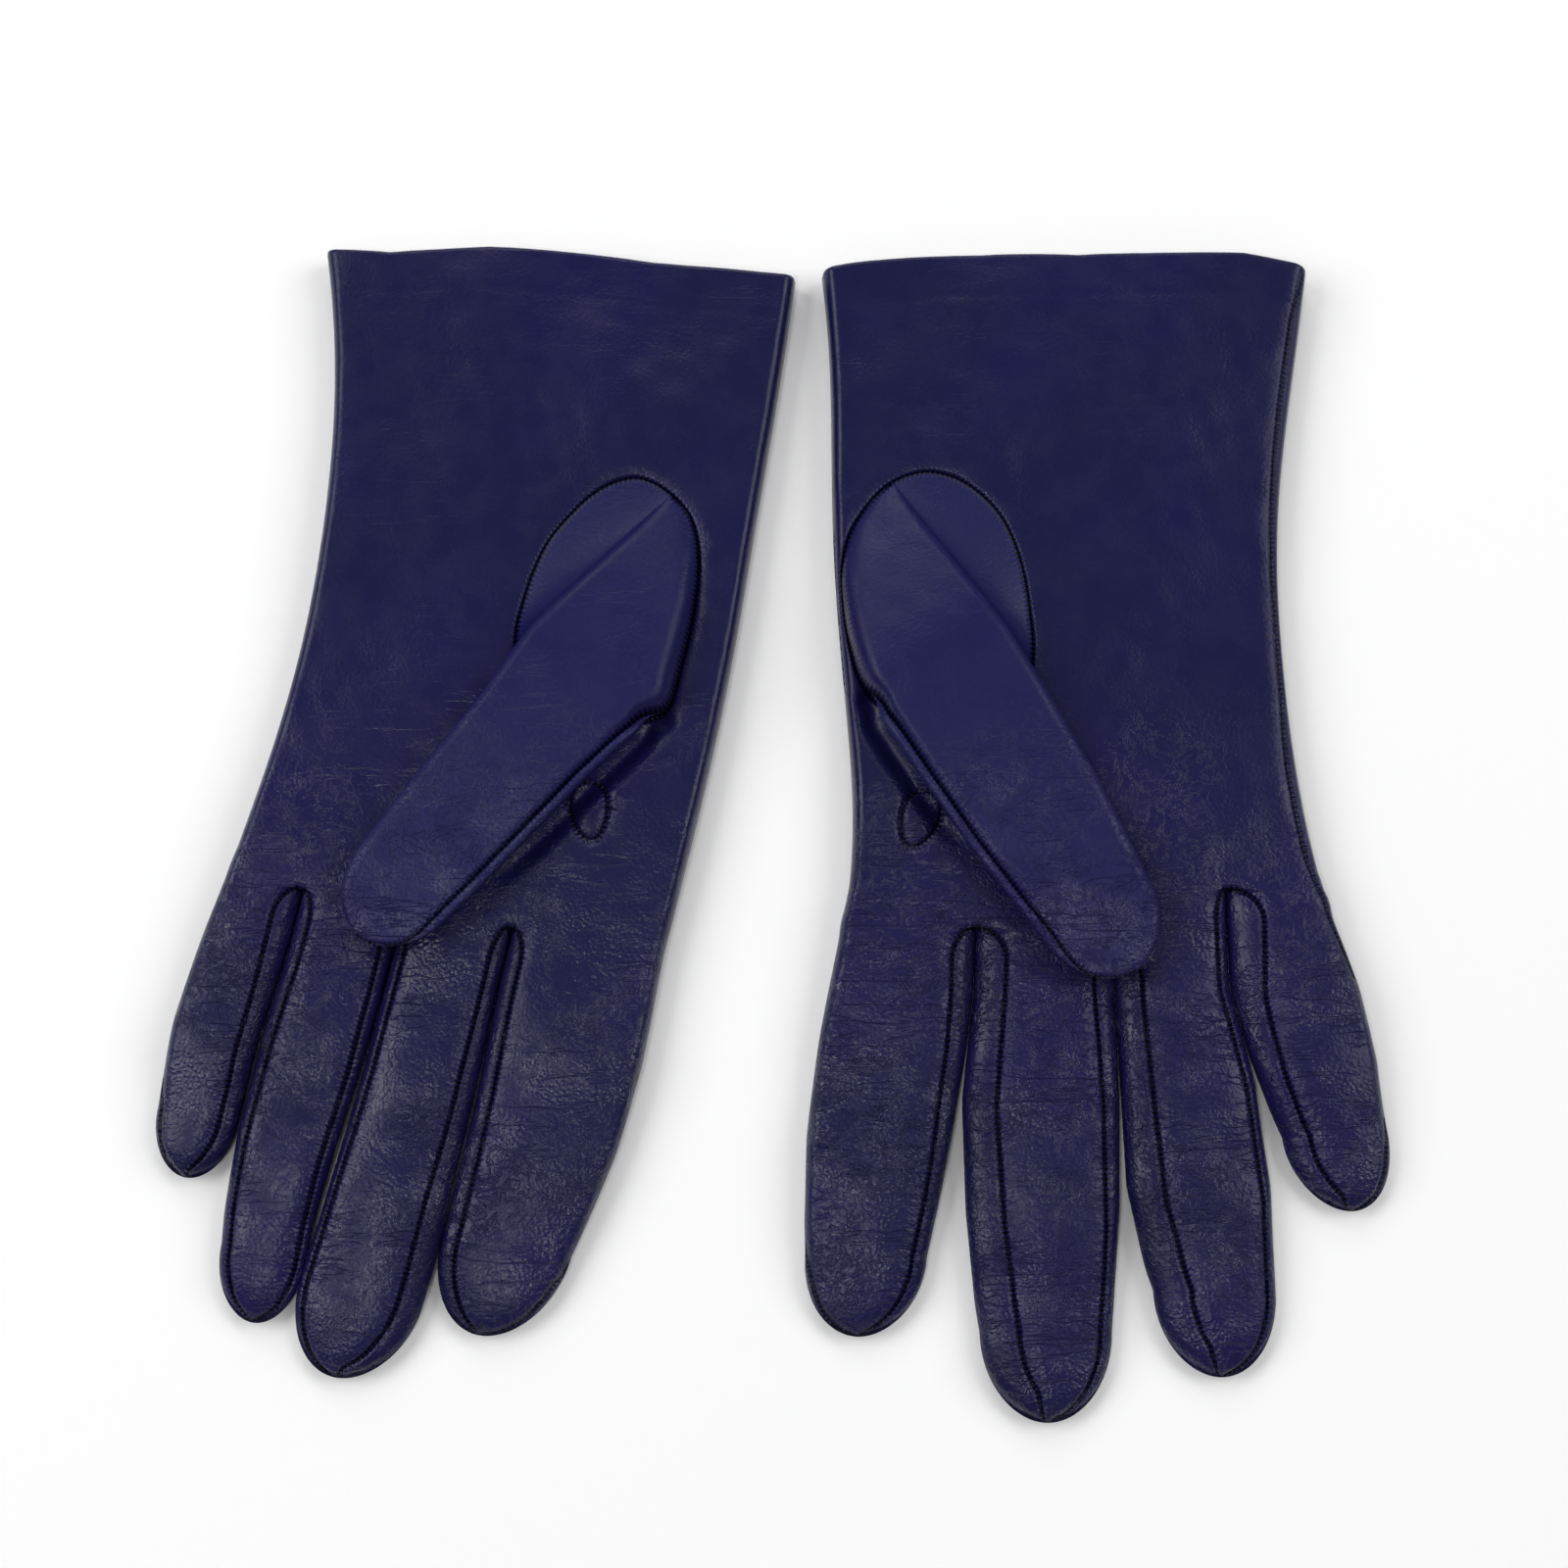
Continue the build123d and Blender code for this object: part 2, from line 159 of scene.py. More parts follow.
def chord(shape, origin, along, s, above=None):
    """Lowest and highest place of a CAD shape across a heading, on the line at s along it."""
    points, edges = shape
    across = np.array((-along[1], along[0]))
    depth = (points[:, :2] - origin) @ along - s
    ends = depth[edges]
    cut = (ends[:, 0] * ends[:, 1] <= 0) & (ends[:, 0] != ends[:, 1])
    pairs, ends = edges[cut], ends[cut]
    t = (ends[:, 0] / (ends[:, 0] - ends[:, 1]))[:, None]
    met = points[pairs[:, 0]] * (1 - t) + points[pairs[:, 1]] * t
    if above is not None:
        met = met[met[:, 2] > above]
    q = (met[:, :2] - origin) @ across
    return q.min(), q.max()


def smoothed(values, reach=4):
    """Values with the corners of the ruled CAD surfaces taken off."""
    kernel = np.hanning(2 * reach + 3)[1:-1]
    kernel /= kernel.sum()
    padded = np.concatenate([2 * values[0] - values[reach:0:-1], values,
                             2 * values[-1] - values[-2:-reach - 2:-1]])
    return np.convolve(padded, kernel, mode="valid")


def held(t):
    """A share, held between 0 and 1."""
    return np.clip(t, 0.0, 1.0)


def ease(t):
    """Smooth step from 0 to 1."""
    t = held(t)
    return t * t * (3 - 2 * t)


def spaced(share, stops):
    """Values at shares of a run of evenly counted stops."""
    return np.interp(share, np.linspace(0, 1, len(stops)), stops)


def on_curve(share, curve, stops=None):
    """Points at shares of a curve, whose own points are evenly counted unless stops place them."""
    stops = np.linspace(0, 1, len(curve)) if stops is None else stops
    return np.column_stack([np.interp(share, stops, line) for line in curve.T])


def rolled(*edges):
    """Height share, 0 to 1, of leather rolled over at its edges: pairs of distance and radius."""
    total = 0.0
    for distance, radius in edges:
        near = held(1 - distance / np.maximum(radius, 1e-4)) ** ROLL_POWER
        total = total + np.where(np.asarray(radius) > 0.05, near, 0.0)
    return np.sqrt(held(1 - total))


def cap(w, straight, tip):
    """Width share of a rounded tip."""
    t = held((w - straight) / tip)
    return (1 - t ** TIP_ROUND) ** (1 / TIP_ROUND)


def cap_rows(straight, tip, count):
    """Places along a rounded tip, closer together toward its end."""
    turn = np.linspace(0.0, math.pi / 2, count + 1)[1:]
    return straight + tip * np.sin(turn) ** (2 / TIP_ROUND)


class Finger:
    """One finger of a glove, measured off its CAD solids: w runs along it and u across."""

    def __init__(self, glove, joint):
        side = glove.side
        self.glove = glove
        self.body = joint["child"]
        self.name = self.body.split("_")[1]
        self.panel = f"{side}_{self.name}_finger"
        root = np.array(joint["pos_m"][:2]) / MM
        self.hinge = root @ glove.along
        whole, panel = node_shape(BODIES[self.body]), node_shape([self.panel])
        self.end = (panel[0][:, :2] @ glove.along).max()
        self.tip = TIPS[side][self.name]
        self.straight = self.end - self.tip
        self.w = np.arange(glove.start - 3.0, self.straight, SAMPLE)
        measured = np.maximum(self.w, self.hinge + 0.4)
        outer = np.array([chord(whole, ORIGIN, glove.along, w) for w in measured])
        inner = np.array([chord(panel, ORIGIN, glove.along, w, above=MID + 1) for w in measured])
        self.low, self.high = outer[:, 0], outer[:, 1]
        self.inset = {"low": np.maximum(inner[:, 0] - self.low, 0.0),
                      "high": np.maximum(self.high - inner[:, 1], 0.0)}
        self.sewn = {"low": False, "high": False}
        self.crotch = {"low": glove.start, "high": glove.start}

    def centre_and_half(self, w):
        """Middle and half width of the finger at w; the tip leans to its side from a little before it."""
        low, high = np.interp(w, self.w, self.low), np.interp(w, self.w, self.high)
        before = 14.0
        lean = held((w - self.straight + before) / (self.tip + before)) ** 2
        centre = (low + high) / 2 + TIP_LEAN[self.glove.side][self.name] * lean
        return centre, (high - low) / 2 * cap(w, self.straight, self.tip)

    def edges(self, w):
        """The two sides of the finger, across it, at w."""
        centre, half = self.centre_and_half(w)
        return centre - half, centre + half

    def seam_inset(self, side, w):
        """Distance from the finger's side in to the seam of its strip."""
        if not self.sewn[side]:
            return np.zeros_like(w)
        start = held((w - self.crotch[side]) / ARCH)
        wide = np.interp(np.minimum(w, self.straight - 10.0), self.w, self.inset[side])
        low, high = self.edges(w)
        return np.minimum(wide, STRIP_SHARE * (high - low)) * np.sqrt(1 - (1 - start) ** 2)

    def radius(self, side, w):
        """Radius of the finger's rolled side."""
        low, high = self.edges(w)
        widest = 0.5 * (high - low)
        if not self.sewn[side]:
            return np.minimum(EDGE_ROLL, widest)
        # Steep just past the top of the slit, then as wide as the strip.
        past = np.maximum(w - self.crotch[side], 0.0)
        inset = self.seam_inset(side, w)
        flat = np.minimum(1.12 * inset, STRIP_ROLL + 0.6)
        steep = 2.0 * inset * np.exp(-past / 7.0)
        return np.minimum(np.maximum(flat + steep, STRIP_ROLL * ease(past / 9.0)), widest)

    def share(self, u, w):
        """Height share at a place of the finger's plan."""
        low, high = self.edges(w)
        return rolled((u - low, self.radius("low", w)), (high - u, self.radius("high", w)),
                      (self.end - w, 0.6 * self.tip))

    def thickness(self, w):
        """Thickness along the finger: it tapers to the tip, with a swelling at each pad."""
        t = held((w - self.hinge) / (self.end - self.hinge))
        pads = sum(height * np.exp(-((t - middle) / spread) ** 2) for middle, spread, height in PADS)
        return HAND_TOP * (1 - TAPER * t ** 2) + pads

    def fall(self, u, w):
        """How far a finger's front falls away from its middle line."""
        centre, half = self.centre_and_half(w)
        across = (u - centre) / np.maximum(half, 1.0)
        return CROWN * across ** 2 * ease((w - self.glove.start - 4.0) / 20.0)

    def rows(self):
        """Places along the finger, closer together at the slits and at the tip."""
        steady = np.arange(self.glove.start, self.straight, STEP)
        arch = ARCH * (1 - np.cos(np.linspace(0.0, math.pi / 2, 12)))
        arches = [self.crotch[side] + arch for side in ("low", "high") if self.sewn[side]]
        rows = np.sort(np.concatenate([steady, *arches, cap_rows(self.straight, self.tip, TIP_ROWS)]))
        return rows[np.concatenate([[True], np.diff(rows) > 0.02])]

    def seam(self, side):
        """The seam on one side, of its strip or of the closed fold at the tip, as a curve in the plan."""
        w = self.rows()
        if self.sewn[side]:
            w = w[w >= self.crotch[side]]
            inset = self.seam_inset(side, w)
        else:
            length, closing = CLOSING
            w = w[w > self.end - length]
            inset = closing * ease((w - self.end + length) / 7.0)
        low, high = self.edges(w)
        return self.glove.plan(low + inset if side == "low" else high - inset, w)


class Glove:
    """One glove, measured off its CAD solids: w runs along the fingers and u across them."""

    def __init__(self, side):
        self.side = side
        self.body = side + "_hand"
        joints = [j for name, j in JOINTS.items() if name.startswith(side) and name.endswith("_flex")]
        joints.sort(key=lambda j: j["pos_m"][0])
        self.across = -np.array(joints[0]["axis"][:2])
        self.along = np.array((self.across[1], -self.across[0]))
        self.start = ROOT_LINE[side]
        self.trank = node_shape([side + "_trank"])
        self.fingers = [Finger(self, joint) for joint in joints]
        for low, high, crotch in zip(self.fingers, self.fingers[1:], CROTCHES[side]):
            self.part(low, high, crotch)
        self.close_sides()
        self.sides = self.side_curves()
        self.thumb = Thumb(self)
        self.quirk = self.quirk_curve()
        self.seams = [finger.seam(edge) for finger in self.fingers for edge in ("low", "high")]
        self.side_seam = self.side_seam_curve() if side == "right" else None
        self.seams += [self.thumb.oval, self.quirk]
        if self.side_seam is not None:
            self.seams.append(self.side_seam)

    def plan(self, u, w):
        """Points in the frame's plan."""
        return np.outer(u, self.across) + np.outer(w, self.along)

    def part(self, low, high, crotch):
        """Carries the slit between two fingers on from their bending lines up to its top."""
        w = np.arange(self.start - 3.0, max(low.straight, high.straight), SAMPLE)
        both = max(low.hinge, high.hinge) + 0.4
        left, right = np.interp(w, low.w, low.high), np.interp(w, high.w, high.low)
        centre = (left + right) / 2
        opened = held((w - crotch) / (both - crotch))
        joined = np.minimum(np.maximum(right - left, 0.3) / 2 * opened, TOUCHING)
        apart = (right - left) / 2
        apart = np.maximum(apart - SLIT_FILL, np.minimum(apart, 0.2))
        loose = ease((w - both - 6.0) / 16.0)
        apart = np.minimum(apart, TOUCHING) * (1 - loose) + apart * loose
        half = np.where(w < both, joined, apart)
        left, right = centre - half, centre + half
        low.high, high.low = np.interp(low.w, w, left), np.interp(high.w, w, right)
        low.sewn["high"], high.sewn["low"] = True, True
        low.crotch["high"], high.crotch["low"] = crotch, crotch

    def close_sides(self):
        """The hand's own sides, from its finger roots up to where the finger pieces begin."""
        first, last = self.fingers[0], self.fingers[-1]
        for finger in (first, last):
            hand = np.array([chord(self.trank, ORIGIN, self.along, min(w, finger.hinge - 1.0))
                             for w in finger.w])
            mixed = ease((finger.w - finger.hinge + 10.0) / 12.0)
            t = (finger.w - finger.hinge + 5.0) / (finger.straight + 4.0 - finger.hinge)
            bulge = OUTER_BULGE * np.sin(math.pi * held(t))
            if finger is first:
                finger.low = hand[:, 0] * (1 - mixed) + finger.low * mixed - bulge
            if finger is last:
                finger.high = hand[:, 1] * (1 - mixed) + finger.high * mixed + bulge
        for finger in self.fingers:
            finger.low, finger.high = smoothed(finger.low), smoothed(finger.high)
            for side in ("low", "high"):
                finger.inset[side] = smoothed(finger.inset[side])

    def side_curves(self):
        """The hand's two sides, from the cuff to where the finger pieces begin."""
        down = np.array((0.0, -1.0))
        lowest = self.trank[0][:, 1].min()
        count = 60
        curves = []
        for pick, finger in ((0, self.fingers[0]), (1, self.fingers[-1])):
            w = np.array([self.start])
            foot = self.plan(finger.edges(w)[pick], w)[0]
            y = np.linspace(self.corner_height(pick), foot[1], count)
            x = np.array([chord(self.trank, ORIGIN, down, -max(v, lowest + 1))[pick] for v in y])
            x = x + (0.1 if pick else -0.1)
            curve = np.column_stack([smoothed(x), y])
            curve += np.outer(ease(np.linspace(-1.5, 1.0, count)), foot - curve[-1])
            curves.append(curve)
        return curves

    def side_x(self, y):
        """Where the hand's two sides lie at height y."""
        return [np.interp(y, curve[::-1, 1], curve[::-1, 0]) for curve in self.sides]

    def corner_height(self, pick):
        """Height of the cuff's corner, on its low or high side."""
        points = self.trank[0]
        upper = points[points[:, 1] > 100.0]
        x = upper[:, 0].min() if pick == 0 else upper[:, 0].max()
        near = upper[np.abs(upper[:, 0] - x) < 1.2]
        return near[:, 1].max() - 0.6

    def cuff(self, share):
        """The cuff edge in the plan, at a share of its width."""
        low, high = self.sides[0][0], self.sides[1][0]
        x = low[0] + (high[0] - low[0]) * share
        right = np.array((1.0, 0.0))
        edge_x = np.linspace(low[0] + 1.5, high[0] - 1.5, 24)
        edge_y = np.array([chord(self.trank, ORIGIN, right, v)[1] for v in edge_x])
        y = np.interp(x, edge_x, edge_y)
        wave = np.array(CUFF_WAVE[self.side])
        y = y + np.interp(share, wave[:, 0], wave[:, 1])
        near = np.minimum(x - low[0], high[0] - x)
        corner = np.interp(share, (0, 1), (low[1], high[1]))
        round_off = np.sqrt(1 - (1 - held(near / CORNER)) ** 2)
        return np.column_stack([x, corner + (y - corner) * round_off])

    def quirk_curve(self):
        """Outline of the tongue gusset in the thumb's crotch."""
        low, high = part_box(self.side + "_thumb_quirk")
        centre = np.array(((low.x + high.x) / 2, (low.y + high.y) / 2)) / MM
        turn = math.radians(QUIRK_TURN[self.side])
        along = np.array((-math.sin(turn), -math.cos(turn)))
        across = np.array((math.cos(turn), -math.sin(turn)))
        a = np.linspace(0.0, 2 * math.pi, 97)
        narrow = 1 - 0.18 * np.sin(a)
        return (centre + np.outer(np.cos(a) * QUIRK_SIZE[0] / 2 * narrow, across)
                + np.outer(np.sin(a) * QUIRK_SIZE[1] / 2, along))

    def side_seam_curve(self):
        """Seam beside the little-finger edge, over the hand and on along the finger."""
        seam = np.array(SIDE_SEAM)
        y = np.linspace(seam[0, 0], seam[-1, 0], 120)
        inset = np.interp(y, seam[::-1, 0], seam[::-1, 1])
        edge = np.where(y > -self.start, self.side_x(y)[1], self.fingers[-1].edges(-y)[1])
        return np.column_stack([edge - inset, y])


class Thumb:
    """A glove's thumb: s runs along it from its bending line, q across it toward its seam."""

    def __init__(self, glove):
        side = glove.side
        joint = JOINTS[side + "_thumb_swing"]
        self.glove = glove
        self.body = joint["child"]
        self.turn = 1.0 if side == "left" else -1.0
        self.root = np.array(joint["pos_m"][:2]) / MM
        across = -np.array(joint["axis"][:2])
        self.along = np.array((across[1], -across[0]))
        self.across = across * self.turn
        low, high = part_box(side + "_thumb")
        self.bottom, self.top = low.z / MM, high.z / MM
        self.mid = (self.bottom + self.top) / 2
        shape = node_shape([side + "_thumb"])
        self.end = ((shape[0][:, :2] - self.root) @ self.along).max()
        self.tip = THUMB_TIP
        self.straight = self.end - self.tip
        self.s = np.arange(0.4, self.straight, SAMPLE)
        spans = np.array([chord(shape, self.root, self.along, s) for s in self.s])
        if self.turn > 0:
            self.fold_side, self.seam_side = spans[:, 0], spans[:, 1]
        else:
            self.fold_side, self.seam_side = -spans[:, 1], -spans[:, 0]
        self.oval = self.oval_curve(side)
        local = self.oval - self.root
        s, q = local @ self.along, local @ self.across
        first = int(np.argmin(s[:-1]))
        self.back, self.back_q = s[first], q[first]
        s, q = np.roll(s[:-1], -first), np.roll(q[:-1], -first)
        far = int(np.argmax(s))
        one = (s[:far + 1], q[:far + 1])
        other = (np.concatenate([[s[0]], s[far:][::-1]]), np.concatenate([[q[0]], q[far:][::-1]]))
        ahead = one[1].mean() > other[1].mean()
        self.near_arc, self.far_arc = (one, other) if ahead else (other, one)

    def oval_curve(self, side):
        """The oval seam in the plan, as a closed curve through its measured points."""
        held = np.array(OVAL[side])
        before, after, later = np.roll(held, 1, 0), np.roll(held, -1, 0), np.roll(held, -2, 0)
        f = np.linspace(0.0, 1.0, 16, endpoint=False)[None, :, None]
        p0, p1, p2, p3 = (v[:, None, :] for v in (before, held, after, later))
        curve = 0.5 * (2 * p1 + (p2 - p0) * f + (2 * p0 - 5 * p1 + 4 * p2 - p3) * f ** 2
                       + (3 * p1 - p0 - 3 * p2 + p3) * f ** 3)
        curve = curve.reshape(-1, 2)
        return np.vstack([curve, curve[:1]])

    @property
    def shadow_line(self):
        """Line just outside the thumb's free edge."""
        s = np.linspace(-3.0, self.end - 16.0, 80)
        return self.plan(s, self.edge(s)[0] + 0.9)

    def plan(self, s, q):
        """Points in the frame's plan."""
        return self.root + np.outer(s, self.along) + np.outer(q, self.across)

    def fold(self, s):
        """Across place and height of the fold line."""
        from_back = held((s - self.back) / -self.back)
        share = ease(from_back) * 0.35 + from_back * 0.65
        start = self.back_q + (self.fold_side[0] - self.back_q) * share
        centre, half = self.tube(s)
        q = np.where(s < 0, start, centre - half)
        rise = held((s - self.back) / (2.0 - self.back))
        z = THUMB_SEAT + (self.mid - THUMB_SEAT) * (1 - (1 - rise) ** 1.5)
        return q, z

    def tube(self, s):
        """Middle and half width of the thumb beyond its bending line."""
        low, high = np.interp(s, self.s, self.fold_side), np.interp(s, self.s, self.seam_side)
        return (low + high) / 2, (high - low) / 2 * cap(s, self.straight, self.tip)

    def edge(self, s):
        """Across place and height of the seam edge."""
        centre, half = self.tube(s)
        free = ease((s + 4.5) / 7.0)
        q = np.interp(s, *self.near_arc) * (1 - free) + (centre + half) * free
        z = THUMB_SEAT + (self.mid + 0.9 - THUMB_SEAT) * ease((s + 10.0) / 18.0)
        return q, z

    def crown(self, s):
        """Height of the thumb's upper side."""
        rise = held((s - self.back) / (-4.0 - self.back))
        z = THUMB_SEAT + (self.top - 0.7 - THUMB_SEAT) * (1 - (1 - rise) ** 1.7)
        return z - 0.9 * ease(s / self.end)

    def ridge(self, s):
        """Width of the second leather edge that shows along the free seam."""
        return 2.1 * ease((s + 5.0) / 8.0) * ease((self.end - 2.0 - s) / 12.0)


GLOVES = [Glove(side) for side in ("left", "right")]


# ---------------------------------------------------------------- relief of the leather
def nearest(points, curves):
    """Distance to the nearest curve, and the length run along it, for points in the plan."""
    gap, run = np.full(len(points), NO_SEAM), np.zeros(len(points))
    for curve in curves:
        low, high = curve.min(0) - NEAR_SEAM, curve.max(0) + NEAR_SEAM
        close = np.flatnonzero(((points > low) & (points < high)).all(1))
        a, step = curve[:-1], np.diff(curve, axis=0)
        length = np.maximum(np.hypot(*step.T), 1e-9)
        start = np.concatenate([[0.0], np.cumsum(length)[:-1]])
        for chunk in np.array_split(close, max(1, len(close) // 6000)):
            if not len(chunk):
                continue
            off = points[chunk][:, None, :] - a[None]
            t = held((off * step).sum(2) / length ** 2)
            far = np.hypot(*np.moveaxis(off - t[..., None] * step, 2, 0))
            best = far.argmin(1)
            rows = np.arange(len(chunk))
            nearer = far[rows, best] < gap[chunk]
            gap[chunk[nearer]] = far[rows, best][nearer]
            run[chunk[nearer]] = (start[best] + t[rows, best] * length[best])[nearer]
    return gap, run


def groove(gap, run, depth=0.85):
    """How far leather sinks at a seam that is sewn inside out: a narrow cut in a wide dip."""
    bite = 1 + TEETH * np.cos(2 * math.pi * run / STITCH)
    return depth * np.exp(-(gap * bite / 0.36) ** 2) + 0.32 * np.exp(-(gap / 1.7) ** 2)


def waves(seed, shortest, longest, count, height):
    """Gentle unevenness: a fixed sum of waves of different lengths and headings."""
    draw = np.random.default_rng(seed)
    lengths = np.exp(draw.uniform(math.log(shortest), math.log(longest), count))
    heading, phase = draw.uniform(0, math.pi, count), draw.uniform(0, 2 * math.pi, count)
    size = height * np.sqrt(lengths / longest) * math.sqrt(2 / count)
    vectors = np.column_stack([np.cos(heading), np.sin(heading)]) * (2 * math.pi / lengths)[:, None]
    return lambda p: (size * np.sin(p @ vectors.T + phase)).sum(1)


SLACK = waves(3, 20.0, 75.0, 14, 0.30)
RIPPLE = waves(8, 5.0, 14.0, 22, 0.045)


def relief(points):
    """Unevenness of the leather in the plan, in millimetres."""
    return SLACK(points) + RIPPLE(points)


def hollows(points):
    """How far the back of a glove stands off the table."""
    return np.maximum(relief(points + OTHER_SIDE), 0) * 0.6


def valley(glove, points):
    """Depth of the crease that the palm makes beside the thumb's free edge."""
    deep, wide, fading = CREASE
    left = ease((glove.start - 1.0 - points @ glove.along) / fading)
    return deep * left * np.exp(-(nearest(points, [glove.thumb.shadow_line])[0] / wide) ** 2)


# ---------------------------------------------------------------- building meshes
class Piece:
    """A mesh in the making: grids laid out by a formula and joined at their borders."""

    def __init__(self, name):
        self.name = name
        self.bm = bmesh.new()
        self.gap = self.bm.verts.layers.float.new("seam_gap")
        self.run = self.bm.verts.layers.float.new("seam_run")

    def grid(self, columns, rows, place, flip=False):
        """Adds a grid; place turns shares across and along it into points, seam gap and seam run."""
        verts = bmesh.ops.create_grid(self.bm, x_segments=columns, y_segments=rows, size=1.0)["verts"]
        flat = (np.array([v.co[:2] for v in verts]) + 1) / 2
        points, gap, run = place(flat[:, 0], flat[:, 1])
        for vert, point, near, far in zip(verts, points * MM, gap, run):
            vert.co = point
            vert[self.gap] = near
            vert[self.run] = far
        if flip:
            bmesh.ops.reverse_faces(self.bm, faces=list({f for v in verts for f in v.link_faces}))
        return verts

    def finish(self, material, nodes=()):
        """Makes the object, smooth and at the origin, in place of its CAD nodes."""
        bmesh.ops.remove_doubles(self.bm, verts=self.bm.verts, dist=2e-6)
        bmesh.ops.dissolve_degenerate(self.bm, edges=self.bm.edges, dist=1e-7)
        for face in self.bm.faces:
            face.smooth = True
        mesh = bpy.data.meshes.new(self.name)
        self.bm.to_mesh(mesh)
        self.bm.free()
        obj = bpy.data.objects.new(self.name, mesh)
        bpy.context.scene.collection.objects.link(obj)
        mesh.materials.append(material)
        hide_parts(*nodes)
        return obj


def gathered(share, pull=0.6):
    """Shares from 0 to 1 that lie closer together at both ends."""
    return share * (1 - pull) + (1 - np.cos(math.pi * share)) / 2 * pull


def stack(plan, z):
    """Points from places in the plan and heights."""
    return np.column_stack([plan, z])


# ---------------------------------------------------------------- materials
def linear(hex_colour):
    """A linear colour from an sRGB hex value."""
    parts = [int(hex_colour[i:i + 2], 16) / 255 for i in (0, 2, 4)]
    return (*[c / 12.92 if c <= 0.04045 else ((c + 0.055) / 1.055) ** 2.4 for c in parts], 1.0)


def add_node(tree, kind, settings=None, **links):
    """Adds a node, sets its settings and links its inputs; a link is a socket and a value anything else."""
    node = tree.nodes.new(kind)
    for key, value in (settings or {}).items():
        setattr(node, key, value)
    for key, value in links.items():
        name = key.replace("_", " ")
        socket = node.inputs[int(key[1:])] if key[0] == "i" and key[1:].isdigit() else node.inputs[name]
        if isinstance(value, bpy.types.NodeSocket):
            tree.links.new(value, socket)
        else:
            socket.default_value = value
    return node


# Skins: how much more matt than the setting, specular level, and how creased.
SKINS = {"nappa_trank": (0.0, 0.28, 1.0), "nappa_thumb": (0.10, 0.24, 1.6), "nappa_strip": (0.02, 0.26, 1.0)}


